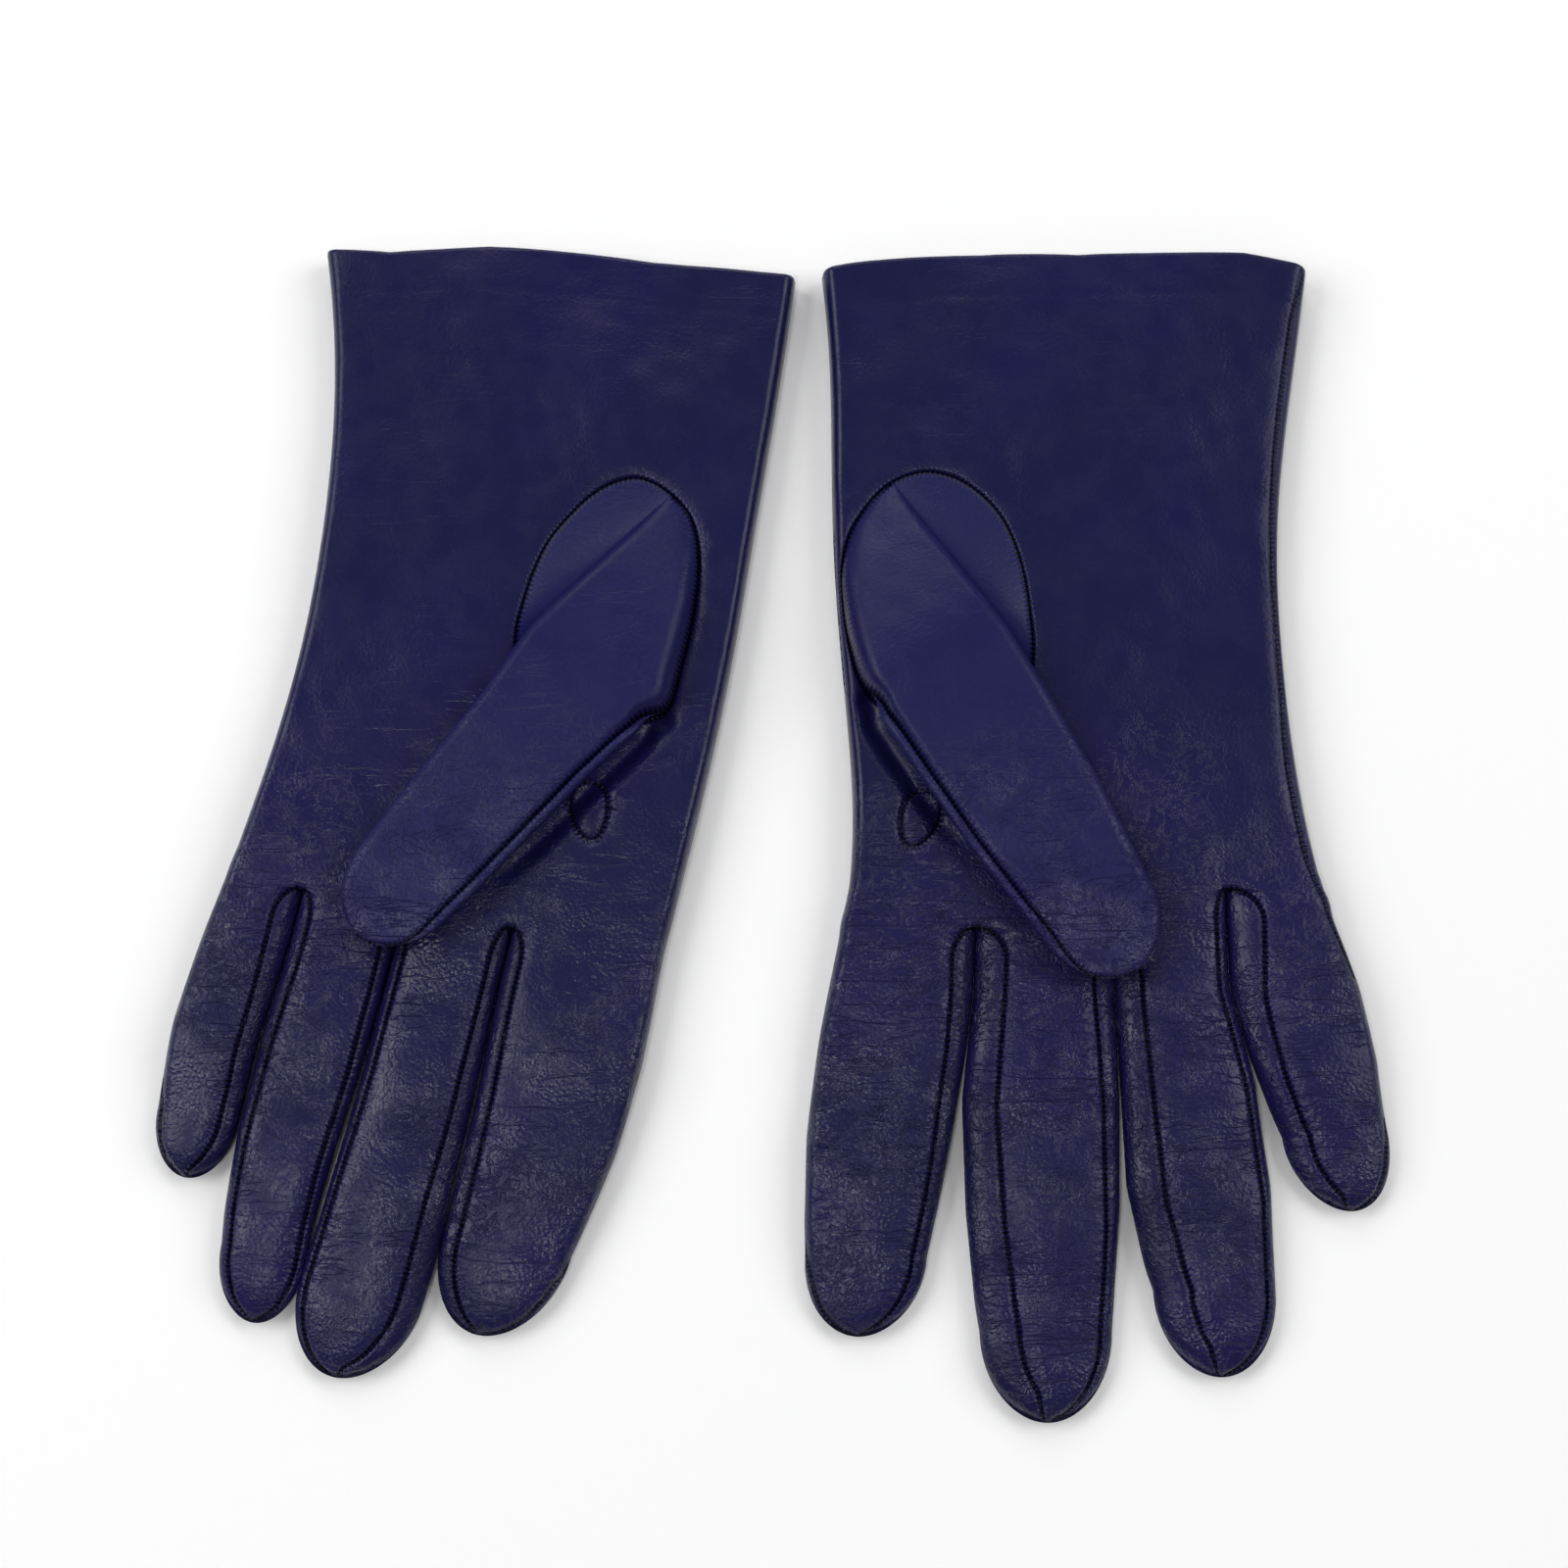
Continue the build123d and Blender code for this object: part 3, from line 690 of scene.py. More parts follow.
def leather(name, colour, shade, patch, roughness, specular, creased):
    """Nappa lambskin, drum dyed: fine pebbled grain, satin finish, drawn in along its seams."""
    material = bpy.data.materials.new(name)
    material.use_nodes = True
    tree = material.node_tree
    tree.nodes.clear()
    place = add_node(tree, "ShaderNodeTexCoord").outputs["Object"]
    gap = add_node(tree, "ShaderNodeAttribute", {"attribute_name": "seam_gap"}).outputs["Fac"]
    run = add_node(tree, "ShaderNodeAttribute", {"attribute_name": "seam_run"}).outputs["Fac"]

    def noise(size_mm, detail=2.0, distortion=0.0, vector=place, rough=0.5):
        """Noise whose features are about size_mm across."""
        return add_node(tree, "ShaderNodeTexNoise", {}, Vector=vector, Scale=1000 / size_mm, Detail=detail,
                        Distortion=distortion, Roughness=rough).outputs["Fac"]

    def spread(value, low, high, to_low=0.0, to_high=1.0):
        """The value, stretched from one range to another and held inside it."""
        return add_node(tree, "ShaderNodeMapRange", {"interpolation_type": "SMOOTHSTEP"}, Value=value,
                        From_Min=low, From_Max=high, To_Min=to_low, To_Max=to_high).outputs["Result"]

    def maths(operation, a, b=0.0, c=0.0):
        return add_node(tree, "ShaderNodeMath", {"operation": operation}, i0=a, i1=b, i2=c).outputs["Value"]

    def times(a, b, plus=0.0):
        """a times b, plus a third value."""
        return maths("MULTIPLY_ADD", a, b, plus)

    def veins(value):
        """Zero along the thin lines where a noise crosses its middle."""
        return maths("ABSOLUTE", maths("SUBTRACT", value, 0.5))

    def blended(share, one, other):
        """One colour, with a share of another."""
        return add_node(tree, "ShaderNodeMix", {"data_type": "RGBA"}, i0=share, i6=one, i7=other).outputs[2]

    # Lambskin grain is a net of cells 0.5 to 0.9 mm across, each a shallow pebble.
    wobble = add_node(tree, "ShaderNodeTexNoise", {}, Vector=place, Scale=1000 / 2.4, Detail=2.0)
    bent = add_node(tree, "ShaderNodeVectorMath", {"operation": "MULTIPLY_ADD"}, i0=wobble.outputs["Color"],
                    i1=(0.0011,) * 3, i2=place).outputs["Vector"]
    pebble = add_node(tree, "ShaderNodeTexVoronoi", {"feature": "SMOOTH_F1"}, Vector=bent, Scale=1000 / 0.75,
                      Smoothness=0.6).outputs["Distance"]
    # Fine creases a few millimetres long, where the skin has been worked over the hand.
    crease = spread(veins(noise(5.5, 4.0, 1.6, rough=0.62)), 0.0, 0.045, -0.15, 0.0)
    crease = times(crease, spread(noise(24.0), 0.42, 0.60))
    # The cuff is smooth; the skin is worked more and more from the palm to the fingertips.
    toward_cuff = add_node(tree, "ShaderNodeSeparateXYZ", {}, Vector=place).outputs["Y"]
    used = times(spread(toward_cuff, -0.05, 0.035, 1.0, 0.05), creased)
    # Pads and folds that rub against things are polished, in patches of a centimetre or so.
    polish = times(spread(noise(9.0, 3.0, 0.4), 0.42, 0.68), used)
    grain = times(polish, 0.090, times(used, 0.055, 0.030))
    pebble = times(maths("SUBTRACT", 0.55, pebble), grain)
    fine = times(noise(0.30), times(grain, 0.4))
    # Longer, finer bending creases run across the fingers and the heel of the hand.
    drawn_out = add_node(tree, "ShaderNodeVectorMath", {"operation": "MULTIPLY"}, i0=place,
                         i1=(0.13, 1.0, 1.0)).outputs["Vector"]
    bend = spread(veins(noise(3.4, 3.0, 0.35, drawn_out, 0.55)), 0.0, 0.028, -0.20, 0.0)
    bend = times(bend, spread(noise(17.0), 0.42, 0.60))
    crease = times(maths("ADD", crease, bend), used)
    # Beside a seam the skin is gathered into short puckers across it, one or two to a stitch.
    across = add_node(tree, "ShaderNodeCombineXYZ", {}, X=times(run, 0.95), Y=times(gap, 0.22),
                      Z=0.0).outputs["Vector"]
    pucker = add_node(tree, "ShaderNodeTexNoise", {}, Vector=across, Scale=1.0, Detail=2.5,
                      Roughness=0.6).outputs["Fac"]
    drawn = spread(gap, 0.2, 4.2, 1.0, 0.0)
    pucker = times(times(maths("SUBTRACT", pucker, 0.5), 0.36), drawn)
    pucker = times(pucker, times(used, 0.8, 0.2))
    stitch = maths("SINE", times(run, 2 * math.pi / STITCH))
    bite = times(times(stitch, spread(gap, 0.25, 1.1, 1.0, 0.0)), 0.08)
    height = maths("ADD", maths("ADD", pebble, fine), maths("ADD", crease, maths("ADD", pucker, bite)))
    bump = add_node(tree, "ShaderNodeBump", {}, Strength=1.0, Distance=MM, Height=height).outputs["Normal"]

    # Dye takes more blue in loose patches. Along each seam the colour goes near black, in teeth with the stitches:
    # partly the dark thread, partly painted shade at the bottom of the seam's groove.
    dye = times(spread(noise(38.0, 3.0, 0.4), 0.38, 0.68), 0.5)
    mottled = spread(noise(1.1, 3.0), 0.35, 0.65, 0.16, 0.0)
    # Seam darkening: dark thread teeth together with painted shade in the seam's groove.
    seam = times(spread(times(stitch, 0.30, gap), 0.05, 0.42, 1.0, 0.0), 0.95)
    tone = blended(seam, blended(mottled, blended(dye, colour, patch), shade), linear("020206"))
    matt = spread(noise(9.0, 3.0, 0.5), 0.35, 0.70, roughness + 0.03, roughness - 0.04)
    shine = times(polish, -0.05, matt)
    specular = times(polish, 0.20, specular)
    shader = add_node(tree, "ShaderNodeBsdfPrincipled", {}, Base_Color=tone, Roughness=shine, IOR=1.45,
                      Specular_IOR_Level=specular, Normal=bump)
    add_node(tree, "ShaderNodeOutputMaterial", {}, Surface=shader.outputs["BSDF"])
    return material


def backdrop_material():
    """Matt white card of a light table."""
    material = bpy.data.materials.new("white_card")
    material.use_nodes = True
    shader = material.node_tree.nodes["Principled BSDF"]
    shader.inputs["Base Color"].default_value = linear("F4F4F4")
    shader.inputs["Roughness"].default_value = 0.9
    return material


def finish_of(name):
    """A leather made once and then shared by all the pieces cut from it."""
    found = bpy.data.materials.get(name)
    if found:
        return found
    settings = bpy.context.scene.glove_leather
    colours = {"nappa_trank": settings.trank, "nappa_thumb": settings.thumb, "nappa_strip": settings.strip}
    matter, specular, creased = SKINS[name]
    return leather(name, colours[name], settings.shade, settings.patch, settings.roughness + matter, specular,
                   creased)


# ---------------------------------------------------------------- hand
def hand_shape(glove, share, reach):
    """Plan and height share of the hand, at a share of its width and of its length from the cuff."""
    sides = [on_curve(reach, curve) for curve in glove.sides]
    cuff = glove.cuff(share)
    feet = [curve[-1] for curve in glove.sides]
    foot = feet[0] + np.outer(share, feet[1] - feet[0])
    corners = [curve[0] for curve in glove.sides]
    a, r = share[:, None], reach[:, None]
    plan = ((1 - r) * cuff + r * foot + (1 - a) * sides[0] + a * sides[1]
            - (1 - a) * (1 - r) * corners[0] - a * (1 - r) * corners[1]
            - (1 - a) * r * feet[0] - a * r * feet[1])
    width = np.hypot(*(sides[1] - sides[0]).T)
    return plan, rolled((share * width, EDGE_ROLL), ((1 - share) * width, EDGE_ROLL))


def hand_rows(glove):
    """Shares of the hand's length, from the cuff, closer together at its lip; and that length."""
    length = np.hypot(*np.diff(glove.sides[0], axis=0).T).sum()
    lip = LIP * (1 - np.cos(np.linspace(0.0, math.pi / 2, 7)))
    far = np.arange(1.1, length, 0.62)
    return np.concatenate([lip, far, [length]]) / length, length


def build_hand(glove):
    """Trank: the palm and back of the hand, one skin folded at its sides."""
    piece = Piece(glove.side + "_trank_leather")
    rows, length = hand_rows(glove)

    def place(upper):
        def at(a, b):
            reach = spaced(b, rows)
            plan, raised = hand_shape(glove, gathered(a, 0.35), reach)
            from_edge = reach * length
            lip = LIP - np.sqrt(np.maximum(LIP ** 2 - np.maximum(LIP - from_edge, 0) ** 2, 0))
            gap, run = nearest(plan, glove.seams)
            hem = 0.07 * np.exp(-((from_edge - HEM_DEPTH) / 0.8) ** 2)
            if upper:
                uneven = relief(plan) - hem - groove(gap, run) - valley(glove, plan)
                z = MID + (MID - lip) * raised + uneven * raised
            else:
                gap = np.full_like(gap, NO_SEAM)
                z = MID - (MID - lip) * raised + hollows(plan) * raised
            return stack(plan, z), gap, run
        return at

    above, below = COLUMNS["hand"]
    piece.grid(above, len(rows) - 1, place(True), flip=True)
    piece.grid(below, len(rows) - 1, place(False))
    open_palm(piece, glove)
    obj = piece.finish(finish_of("nappa_trank"), [glove.side + "_trank"])
    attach(obj, glove.body)


def inside(points, curve):
    """True for plan points inside a closed curve."""
    x, y = points.T
    odd = np.zeros(len(points), bool)
    for (x0, y0), (x1, y1) in zip(curve[:-1], curve[1:]):
        crosses = (y0 > y) != (y1 > y)
        with np.errstate(divide="ignore", invalid="ignore"):
            odd ^= crosses & (x < x0 + (y - y0) / (y1 - y0) * (x1 - x0))
    return odd


def open_palm(piece, glove):
    """Opens the palm for the thumb, with a collar of leather drawn in round the opening."""
    oval = glove.thumb.oval
    faces = [f for f in piece.bm.faces if f.calc_center_median().z > MID * MM]
    centres = np.array([f.calc_center_median()[:2] for f in faces]) / MM
    gap, _ = nearest(centres, [oval])
    overlap = 0.5
    gone = inside(centres, oval) | (gap < COLLAR - overlap)
    bmesh.ops.delete(piece.bm, geom=[f for f, out in zip(faces, gone) if out], context="FACES")
    step = np.gradient(oval[:-1], axis=0)
    step = np.vstack([step, step[:1]])
    normal = np.column_stack([step[:, 1], -step[:, 0]]) / np.hypot(*step.T)[:, None]
    length = np.concatenate([[0.0], np.cumsum(np.hypot(*np.diff(oval, axis=0).T))])
    t = length / length[-1]
    around = int(length[-1] / 0.36)
    tucked = 0.5

    def at(a, b):
        gap = COLLAR * b ** 1.7 - tucked * (1 - b) ** 8
        plan = on_curve(a, oval, t) + on_curve(a, normal, t) * gap[:, None]
        others = nearest(plan, [glove.quirk])
        run = a * length[-1]
        deep = groove(np.abs(gap), run) + np.where(gap < 0, 1.2 * np.abs(gap) / tucked, 0)
        low, high = glove.side_x(plan[:, 1])
        plan[:, 0] = np.clip(plan[:, 0], low + 0.03, high - 0.03)
        raised = rolled((plan[:, 0] - low, EDGE_ROLL), (high - plan[:, 0], EDGE_ROLL))
        sunk = deep + groove(*others, 0.5) + valley(glove, plan)
        z = MID + MID * raised + (0.012 + relief(plan) - sunk) * raised
        return stack(plan, z), np.abs(gap), run

    piece.grid(around, 16, at)


class GLOVES_OT_tranks(bpy.types.Operator):
    """Make the palm and back of each hand"""

    bl_idname = "gloves.tranks"
    bl_label = "Hands"

    def execute(self, context):
        for glove in GLOVES:
            build_hand(glove)
        return {"FINISHED"}


# ---------------------------------------------------------------- fingers
def place_on_finger(finger, u, w, upper):
    """Point, seam gap and seam run on the upper or lower side of a finger."""
    plan = finger.glove.plan(u, w)
    raised = finger.share(u, w)
    curves = [finger.seam(side) for side in ("low", "high")]
    if upper and finger.glove.side_seam is not None and finger is finger.glove.fingers[-1]:
        curves.append(finger.glove.side_seam)
    gap, run = nearest(plan, curves)
    half = finger.thickness(w) / 2
    if upper:
        z = half + half * raised + (relief(plan) - groove(gap, run) - finger.fall(u, w)) * np.sqrt(raised)
    else:
        z = half - half * raised + (hollows(plan) + groove(gap, run, 0.6)) * np.sqrt(raised)
    return stack(plan, z), gap, run


def hang_on(finger, obj):
    """Bakes the placement of a piece of a finger into its mesh, at the origin."""
    start = finger.glove.plan(np.array([0.0]), np.array([finger.hinge]))[0]
    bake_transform(obj)


def build_finger(finger):
    """Front, back and tip of a finger, between its side strips."""
    piece = Piece(finger.glove.side + "_" + finger.name + "_finger_leather")
    rows = finger.rows()

    def place(upper):
        def at(a, b):
            w = spaced(b, rows)
            low, high = finger.edges(w)
            low, high = low + finger.seam_inset("low", w), high - finger.seam_inset("high", w)
            return place_on_finger(finger, low + (high - low) * gathered(a, 0.75), w, upper)
        return at

    above, below = COLUMNS["finger"]
    piece.grid(above, len(rows) - 1, place(True), flip=True)
    piece.grid(below, len(rows) - 1, place(False))
    hang_on(finger, piece.finish(finish_of("nappa_trank"), [finger.panel]))


def build_strip(finger, side, node):
    """Fourchette: the strip along one side of a finger, from its palm seam round to its back seam."""
    piece = Piece(node + "_leather")
    rows = finger.rows()
    rows = rows[rows >= finger.crotch[side]]

    def place(upper):
        def at(a, b):
            w = spaced(b, rows)
            low, high = finger.edges(w)
            inset = np.maximum(finger.seam_inset(side, w), 1e-3)
            inward = inset * (1 - np.sin(math.pi / 2 * a))
            u = low + inward if side == "low" else high - inward
            return place_on_finger(finger, u, w, upper)
        return at

    turned = side == "low"
    above, below = COLUMNS["strip"]
    piece.grid(above, len(rows) - 1, place(True), flip=not turned)
    piece.grid(below, len(rows) - 1, place(False), flip=turned)
    # The strips take the darker strip leather, whose colour is painted shade for the slits between the fingers.
    hang_on(finger, piece.finish(finish_of("nappa_strip"), [node]))


class GLOVES_OT_fingers(bpy.types.Operator):
    """Make the fingers and the side strips between them"""

    bl_idname = "gloves.fingers"
    bl_label = "Fingers and Side Strips"

    def execute(self, context):
        for glove in GLOVES:
            for i, finger in enumerate(glove.fingers):
                build_finger(finger)
                for side, step in (("low", -1), ("high", 1)):
                    if finger.sewn[side]:
                        facing = glove.fingers[i + step].name
                        build_strip(finger, side, f"{glove.side}_{finger.name}_fourchette_{facing}")
        return {"FINISHED"}


# ---------------------------------------------------------------- thumbs
def thumb_rows(thumb):
    """Places along the thumb, from the back of its oval to its tip."""
    rounded, count = 9.0, 26
    turn = np.linspace(0.0, math.pi / 2, count)
    back = thumb.back + rounded * (1 - np.cos(turn))
    steady = np.arange(thumb.back + rounded + 0.4, thumb.straight, STEP)
    return np.concatenate([back, steady, cap_rows(thumb.straight, thumb.tip, count)])


def thumb_seam(thumb):
    """Plan curve of the free seam and the near arc of the oval, as one run."""
    s = np.linspace(thumb.back, thumb.end, 260)
    q = thumb.edge(s)[0] - thumb.ridge(s)
    return thumb.plan(s, q)


def build_thumb(thumb):
    """The thumb's own leather: from its oval seam over the fold, down to the free seam and the tip."""
    glove = thumb.glove
    rows = thumb_rows(thumb)
    seam = thumb_seam(thumb)
    upper = Piece(glove.side + "_thumb_leather")

    def on_top(a, b):
        s = spaced(b, rows)
        fold_q, fold_z = thumb.fold(s)
        edge_q, edge_z = thumb.edge(s)
        edge_q = edge_q - thumb.ridge(s)
        share = gathered(a, 0.7)
        q = fold_q + (edge_q - fold_q) * share
        width = edge_q - fold_q
        # The edge rolls broadly over the ball of the thumb and closely along its free seam.
        free = ease((s + 12.0) / 16.0)
        edge_roll = np.minimum(5.0 - 2.9 * free, 0.6 * width + 0.01)
        fold_roll = np.minimum(2.8, 0.4 * width + 0.01)
        raised = rolled((q - fold_q, fold_roll), (edge_q - q, edge_roll), (thumb.end - s, 0.45 * thumb.tip))
        base = fold_z + (edge_z - fold_z) * share
        plan = thumb.plan(s, q)
        gap, run = nearest(plan, [seam])
        uneven = relief(plan + 90.0) * 0.8 - 0.5 * groove(gap, run)
        z = base + (thumb.crown(s) - base + uneven) * raised
        return stack(plan, z), gap, run

    upper.grid(COLUMNS["thumb"][0], len(rows) - 1, on_top, flip=thumb.turn > 0)
    obj = upper.finish(finish_of("nappa_thumb"), [glove.side + "_thumb"])
    bend_thumb(obj)
    build_underside(thumb, seam)
    build_crescent(thumb)


def bend_thumb(obj):
    """Bakes the placement of a piece of a thumb into its mesh, at the origin."""
    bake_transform(obj)


def build_underside(thumb, seam):
    """The thumb's second leather: it shows as a narrow ridge along the free seam and runs underneath."""
    piece = Piece(thumb.glove.side + "_thumb_underside")
    rows = thumb_rows(thumb)
    rows = np.concatenate([[-7.0], rows[rows > -6.6]])
    # Shares of its girth where the ridge ends, where it has turned under, and where the flat ends.
    ridged, turned, flattened = 0.3, 0.55, 0.75

    def at(a, b):
        s = spaced(b, rows)
        fold_q, fold_z = thumb.fold(s)
        edge_q, edge_z = thumb.edge(s)
        ridge = thumb.ridge(s)
        raised = rolled((thumb.end - s, 0.45 * thumb.tip))
        floor = fold_z + (thumb.bottom + 0.25 - fold_z) * raised
        roll = np.minimum(4.0, 0.45 * (edge_q - fold_q))
        on_ridge = held(a / ridged) * math.pi
        ridge_q = edge_q - ridge + ridge / 2 * (1 - np.cos(on_ridge))
        ridge_z = edge_z + ridge * 0.55 * np.sin(on_ridge)
        under = held((a - ridged) / (turned - ridged)) * math.pi / 2
        under_q = edge_q - roll * (1 - np.cos(under))
        under_z = edge_z + (floor - edge_z) * np.sin(under)
        flat = held((a - turned) / (flattened - turned))
        flat_q = edge_q - roll + (fold_q + roll - edge_q + roll) * flat
        back = held((a - flattened) / (1 - flattened)) * math.pi / 2
        back_q = fold_q + roll * (1 - np.sin(back))
        back_z = floor + (fold_z - floor) * (1 - np.cos(back))
        parts = [a <= ridged, a <= turned, a <= flattened]
        q = np.select(parts, [ridge_q, under_q, flat_q], back_q)
        z = np.select(parts, [ridge_z, under_z, floor], back_z)
        plan = thumb.plan(s, q)
        gap, run = nearest(plan, [seam])
        gap = np.where(a > 0.5, NO_SEAM, gap)
        return stack(plan, z), gap, run

    piece.grid(COLUMNS["thumb"][1], len(rows) - 1, at, flip=thumb.turn > 0)
    obj = piece.finish(finish_of("nappa_thumb"), [thumb.glove.side + "_thumb"])
    bend_thumb(obj)


def build_crescent(thumb):
    """The part of the thumb's leather between its fold and the far arc of the oval seam."""
    piece = Piece(thumb.glove.side + "_thumb_base_leather")
    rows = thumb_rows(thumb)
    fold_q = thumb.fold(rows)[0]
    far_q = np.interp(rows, *thumb.far_arc)
    rows = rows[(far_q < fold_q - 0.05) & (rows < thumb.far_arc[0].max())]
    rows = np.concatenate([[thumb.back], rows])

    def at(a, b):
        s = spaced(b, rows)
        fold_q, fold_z = thumb.fold(s)
        far_q = np.interp(s, *thumb.far_arc)
        share = gathered(a, 0.6)
        q = fold_q + (far_q - fold_q) * share
        palm = HAND_TOP - 0.9
        hollow = 1 - np.sqrt(1 - (1 - share) ** 2)
        fall = 0.6 * hollow + 0.4 * (1 - share)
        puff = 0.25 * np.sqrt(held(1 - share)) * share ** 2
        z = palm + (fold_z - palm) * fall + puff * np.minimum(np.abs(far_q - fold_q) / 6.0, 1)
        plan = thumb.plan(s, q)
        gap, run = nearest(plan, [thumb.oval])
        return stack(plan, z), gap, run

    piece.grid(26, len(rows) - 1, at, flip=thumb.turn < 0)
    obj = piece.finish(finish_of("nappa_thumb"), [thumb.glove.side + "_thumb_base"])
    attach(obj, thumb.glove.body)


def build_quirk(glove):
    """Tongue gusset in the thumb's crotch."""
    piece = Piece(glove.side + "_thumb_quirk_leather")
    curve = glove.quirk
    centre = curve[:-1].mean(0)

    def at(a, b):
        plan = centre + (on_curve(a, curve) - centre) * b[:, None]
        gap, run = nearest(plan, [curve])
        z = HAND_TOP + relief(plan) + 0.45 * (1 - b ** 4) - groove(gap, run, 0.5) - valley(glove, plan)
        return stack(plan, z), gap, run

    piece.grid(96, 14, at, flip=True)
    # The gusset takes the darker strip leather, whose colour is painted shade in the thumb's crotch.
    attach(piece.finish(finish_of("nappa_strip"), [glove.side + "_thumb_quirk"]), glove.body)


class GLOVES_OT_thumbs(bpy.types.Operator):
    """Make the folded thumbs and the tongue gussets in their crotches"""

    bl_idname = "gloves.thumbs"
    bl_label = "Thumbs"

    def execute(self, context):
        for glove in GLOVES:
            build_thumb(glove.thumb)
            build_quirk(glove)
        return {"FINISHED"}


# ---------------------------------------------------------------- cuffs
def build_hem(glove):
    """Cuff hem: the leather folded over the cuff edge and turned in."""
    piece = Piece(glove.side + "_cuff_hem_leather")
    _, length = hand_rows(glove)
    turn, steps = np.linspace(0.0, math.pi / 2, 7), 12
    depth = np.concatenate([LIP * (1 - np.cos(turn)), np.linspace(1.2, HEM_DEPTH, steps), [HEM_DEPTH]])
    inset = np.concatenate([LIP * (1 + np.sin(turn)), np.full(steps, 2 * LIP), [1.05]])

    def at(a, b):
        reach, inward = spaced(b, depth) / length, spaced(b, inset)
        upper = a < 0.5
        around = np.where(upper, a * 2, 2 - a * 2)
        share = (1 - np.cos(math.pi * around)) / 2
        plan, raised = hand_shape(glove, share, reach)
        low, high = (hand_shape(glove, np.full_like(share, v), reach)[0] for v in (0.0, 1.0))
        width = np.hypot(*(high - low).T)
        narrowed = (width - 2 * inward) / width
        plan = (low + high) / 2 + (plan - (low + high) / 2) * narrowed[:, None]
        lift = (MID - inward) * raised
        z = np.where(upper, MID + lift + relief(plan) * raised, MID - lift)
        return stack(plan, z), np.full_like(z, NO_SEAM), np.zeros_like(z)

    piece.grid(240, len(depth) - 1, at)
    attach(piece.finish(finish_of("nappa_trank"), [glove.side + "_cuff_hem"]), glove.body)


class GLOVES_OT_cuffs(bpy.types.Operator):
    """Make the turned hems of the cuffs"""

    bl_idname = "gloves.cuffs"
    bl_label = "Cuff Hems"

    def execute(self, context):
        for glove in GLOVES:
            build_hem(glove)
        return {"FINISHED"}


# ---------------------------------------------------------------- stage
# Softboxes: place, side and share of the key power; each one faces the middle of the table.
SOFTBOXES = {
    "softbox_front": ((-0.20, -0.38, 1.35), 0.20, 0.22),
    "softbox_left": ((-1.3, 0.2, 1.25), 1.2, 1.2),
    "softbox_right": ((1.3, 0.3, 1.25), 1.2, 1.0),
    "softbox_back": ((-0.2, 1.7, 1.3), 1.2, 0.9),
}


def soft_light(name, place, size, power):
    """A square softbox."""
    light = bpy.data.lights.new(name, "AREA")
    light.shape = "SQUARE"
    light.size = size
    light.energy = power
    obj = bpy.data.objects.new(name, light)
    obj.location = place
    obj.rotation_mode = "QUATERNION"
    obj.rotation_quaternion = (-Vector(place)).to_track_quat("-Z", "Y")
    bpy.context.scene.collection.objects.link(obj)


class GLOVES_OT_stage(bpy.types.Operator):
    """Make the light table, the softboxes and the camera"""

    bl_idname = "gloves.stage"
    bl_label = "Studio"

    def execute(self, context):
        settings = context.scene.glove_studio
        bm = bmesh.new()
        bmesh.ops.create_grid(bm, x_segments=1, y_segments=1, size=6.0)
        bmesh.ops.translate(bm, verts=bm.verts, vec=(0.0, 0.0, -0.0002))
        mesh = bpy.data.meshes.new("light_table")
        bm.to_mesh(mesh)
        bm.free()
        floor = bpy.data.objects.new("light_table", mesh)
        context.scene.collection.objects.link(floor)
        mesh.materials.append(backdrop_material())

        world = bpy.data.worlds.new("studio_air")
        world.use_nodes = True
        world.node_tree.nodes["Background"].inputs["Color"].default_value = linear("FFFFFF")
        world.node_tree.nodes["Background"].inputs["Strength"].default_value = settings.fill
        context.scene.world = world
        for name, (place, size, share) in SOFTBOXES.items():
            soft_light(name, place, size, settings.key * share)
        context.scene.view_settings.view_transform = "Standard"

        camera = bpy.data.cameras.new("camera")
        camera.sensor_width = 36.0
        camera.lens = settings.lens
        camera.clip_start = 0.01
        obj = bpy.data.objects.new("camera", camera)
        aim = Vector(settings.aim)
        tilt = settings.elevation
        obj.location = aim + Vector((0, -math.cos(tilt), math.sin(tilt))) * settings.distance
        obj.rotation_euler = (math.pi / 2 - tilt, 0.0, 0.0)
        context.scene.collection.objects.link(obj)
        context.scene.camera = obj
        return {"FINISHED"}


# ---------------------------------------------------------------- settings and panel
def dyed(name, description, hex_colour):
    """A colour setting of the leather."""
    return bpy.props.FloatVectorProperty(name=name, description=description, default=linear(hex_colour),
                                         size=4, min=0.0, max=1.0, subtype="COLOR")


class GloveLeather(bpy.types.PropertyGroup):
    """Colours and finish of the leather"""

    trank: dyed("Hands and Fingers", "Colour of the main skin", "13143D")
    thumb: dyed("Thumbs", "Colour of the thumbs' skin", "161749")
    # Painted shade: the side strips and gussets are set darker than the hands and fingers, so that the slits
    # between the fingers and the thumb's crotch look shaded.
    strip: dyed("Side Strips", "Colour of the side strips and gussets", "101037")
    shade: dyed("Shade", "Colour of the darker mottling", "0A092A")
    patch: dyed("Blue Patches", "Colour where the dye is bluest", "181248")
    roughness: bpy.props.FloatProperty(name="Roughness", description="How matt the finish is", default=0.28,
                                       min=0.0, max=1.0, subtype="FACTOR")


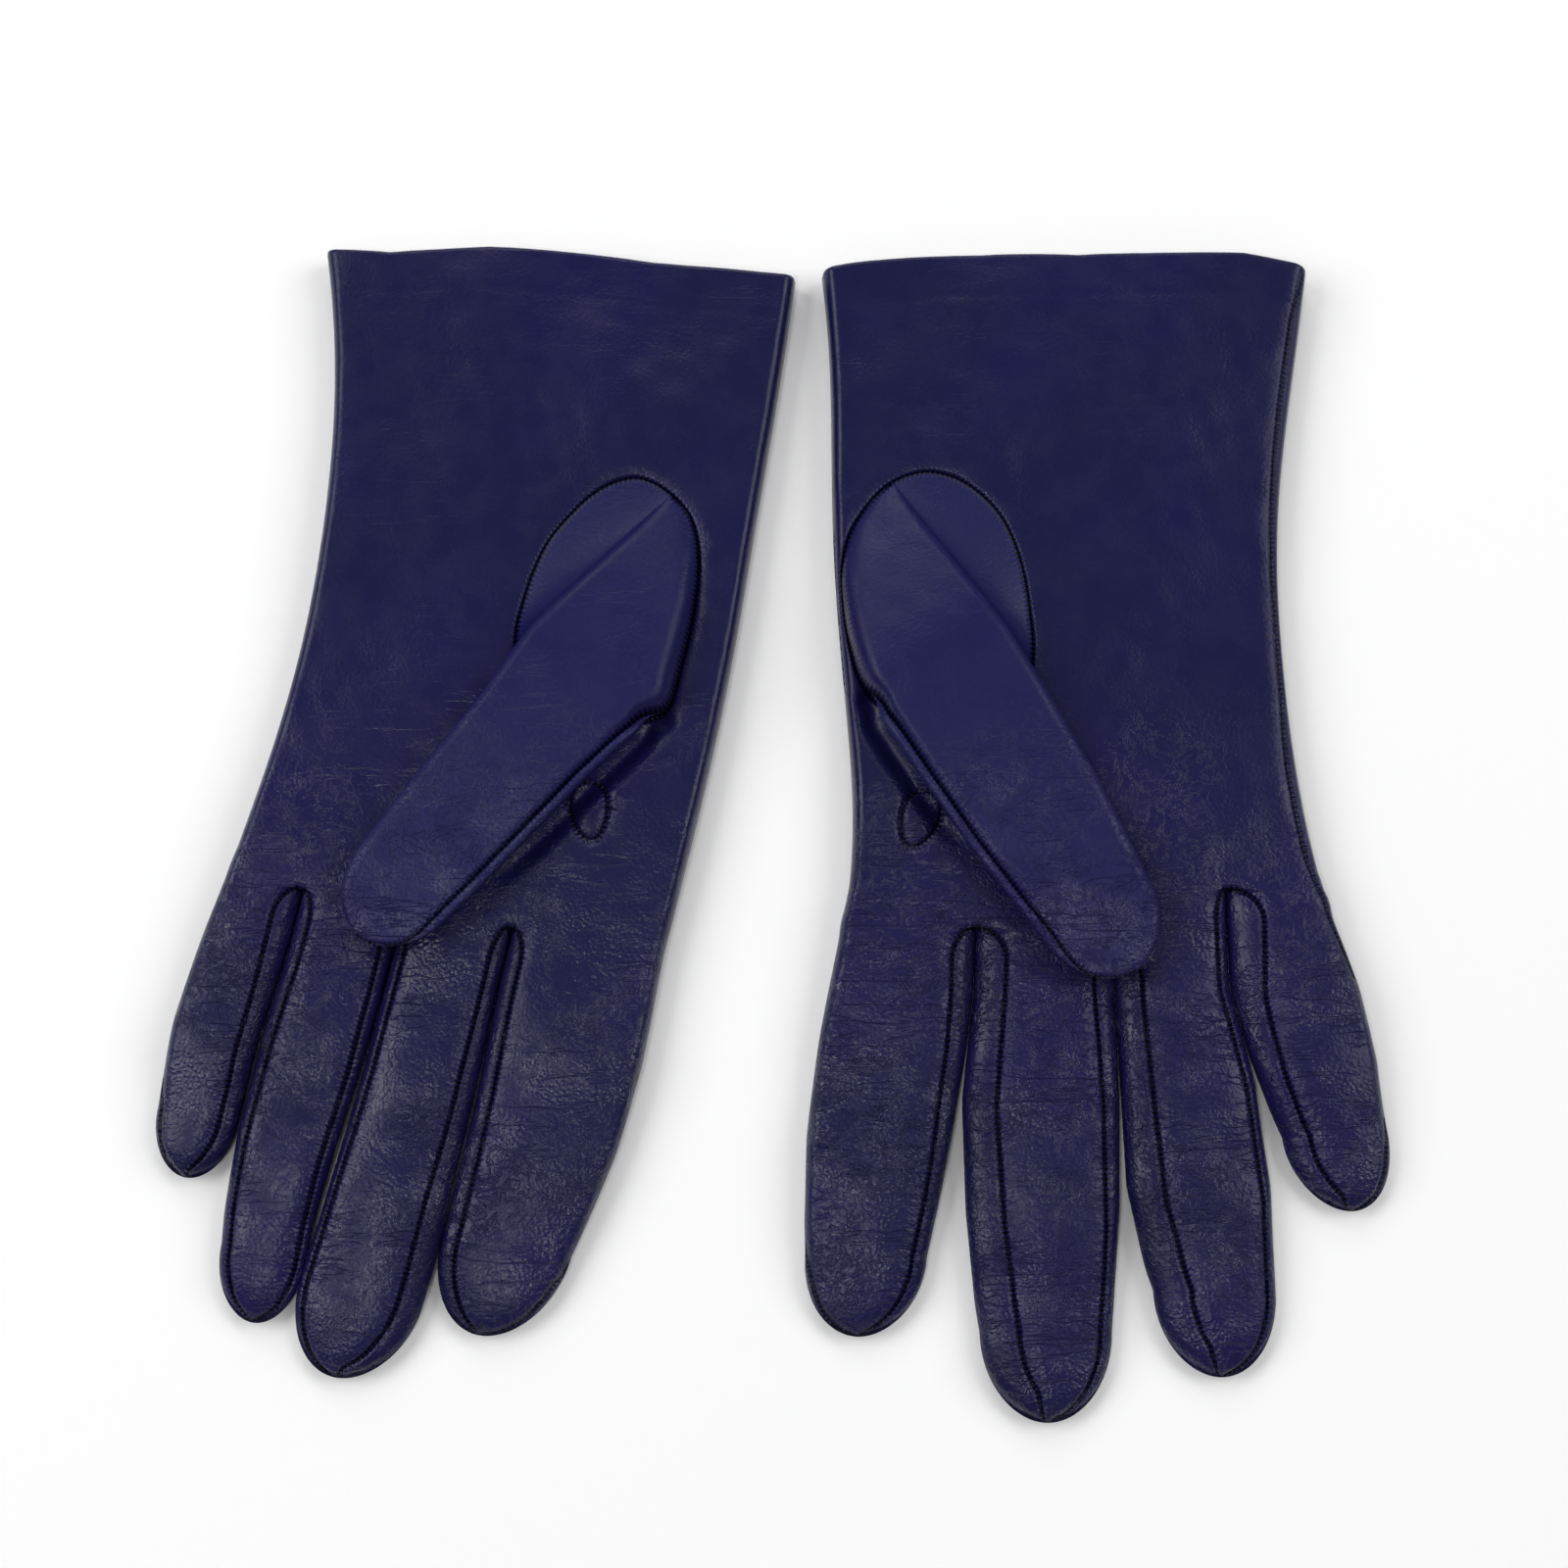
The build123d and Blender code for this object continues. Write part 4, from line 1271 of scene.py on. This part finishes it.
class GloveStudio(bpy.types.PropertyGroup):
    """Camera and light"""

    aim: bpy.props.FloatVectorProperty(name="Aim", description="Point the camera looks at", size=3,
                                       default=(0.0027, 0.0065, 0.004), subtype="TRANSLATION")
    distance: bpy.props.FloatProperty(name="Distance", description="Camera distance", default=0.6,
                                      subtype="DISTANCE", unit="LENGTH")
    elevation: bpy.props.FloatProperty(name="Elevation", description="Camera angle over the table",
                                       default=math.radians(80.0), subtype="ANGLE", unit="ROTATION")
    lens: bpy.props.FloatProperty(name="Lens", description="Focal length in millimetres", default=69.23,
                                  subtype="DISTANCE_CAMERA", unit="CAMERA")
    key: bpy.props.FloatProperty(name="Softboxes", description="Power that all the softboxes share in",
                                 default=14.4, subtype="POWER", unit="POWER")
    fill: bpy.props.FloatProperty(name="Fill", description="Strength of the light from all round",
                                  default=0.21, min=0.0, max=1.0, subtype="FACTOR")


STEPS = (GLOVES_OT_tranks, GLOVES_OT_fingers, GLOVES_OT_thumbs, GLOVES_OT_cuffs, GLOVES_OT_stage)


class GLOVES_PT_sidebar(bpy.types.Panel):
    """Lists the glove pieces and the settings"""

    bl_idname = "GLOVES_PT_sidebar"
    bl_label = "Driving Gloves"
    bl_space_type = "VIEW_3D"
    bl_region_type = "UI"
    bl_category = "Gloves"

    def draw(self, context):
        for step in STEPS:
            self.layout.operator(step.bl_idname)
        for group in (context.scene.glove_leather, context.scene.glove_studio):
            for name in group.bl_rna.properties.keys():
                if name not in ("rna_type", "name"):
                    self.layout.prop(group, name)


CLASSES = (GloveLeather, GloveStudio, *STEPS, GLOVES_PT_sidebar)


def register():
    for cls in CLASSES:
        bpy.utils.register_class(cls)
    bpy.types.Scene.glove_leather = bpy.props.PointerProperty(type=GloveLeather)
    bpy.types.Scene.glove_studio = bpy.props.PointerProperty(type=GloveStudio)


def unregister():
    del bpy.types.Scene.glove_studio
    del bpy.types.Scene.glove_leather
    for cls in reversed(CLASSES):
        bpy.utils.unregister_class(cls)


def main():
    register()
    bpy.ops.gloves.tranks()
    bpy.ops.gloves.fingers()
    bpy.ops.gloves.thumbs()
    bpy.ops.gloves.cuffs()
    bpy.ops.gloves.stage()


if __name__ == "__main__":
    main()
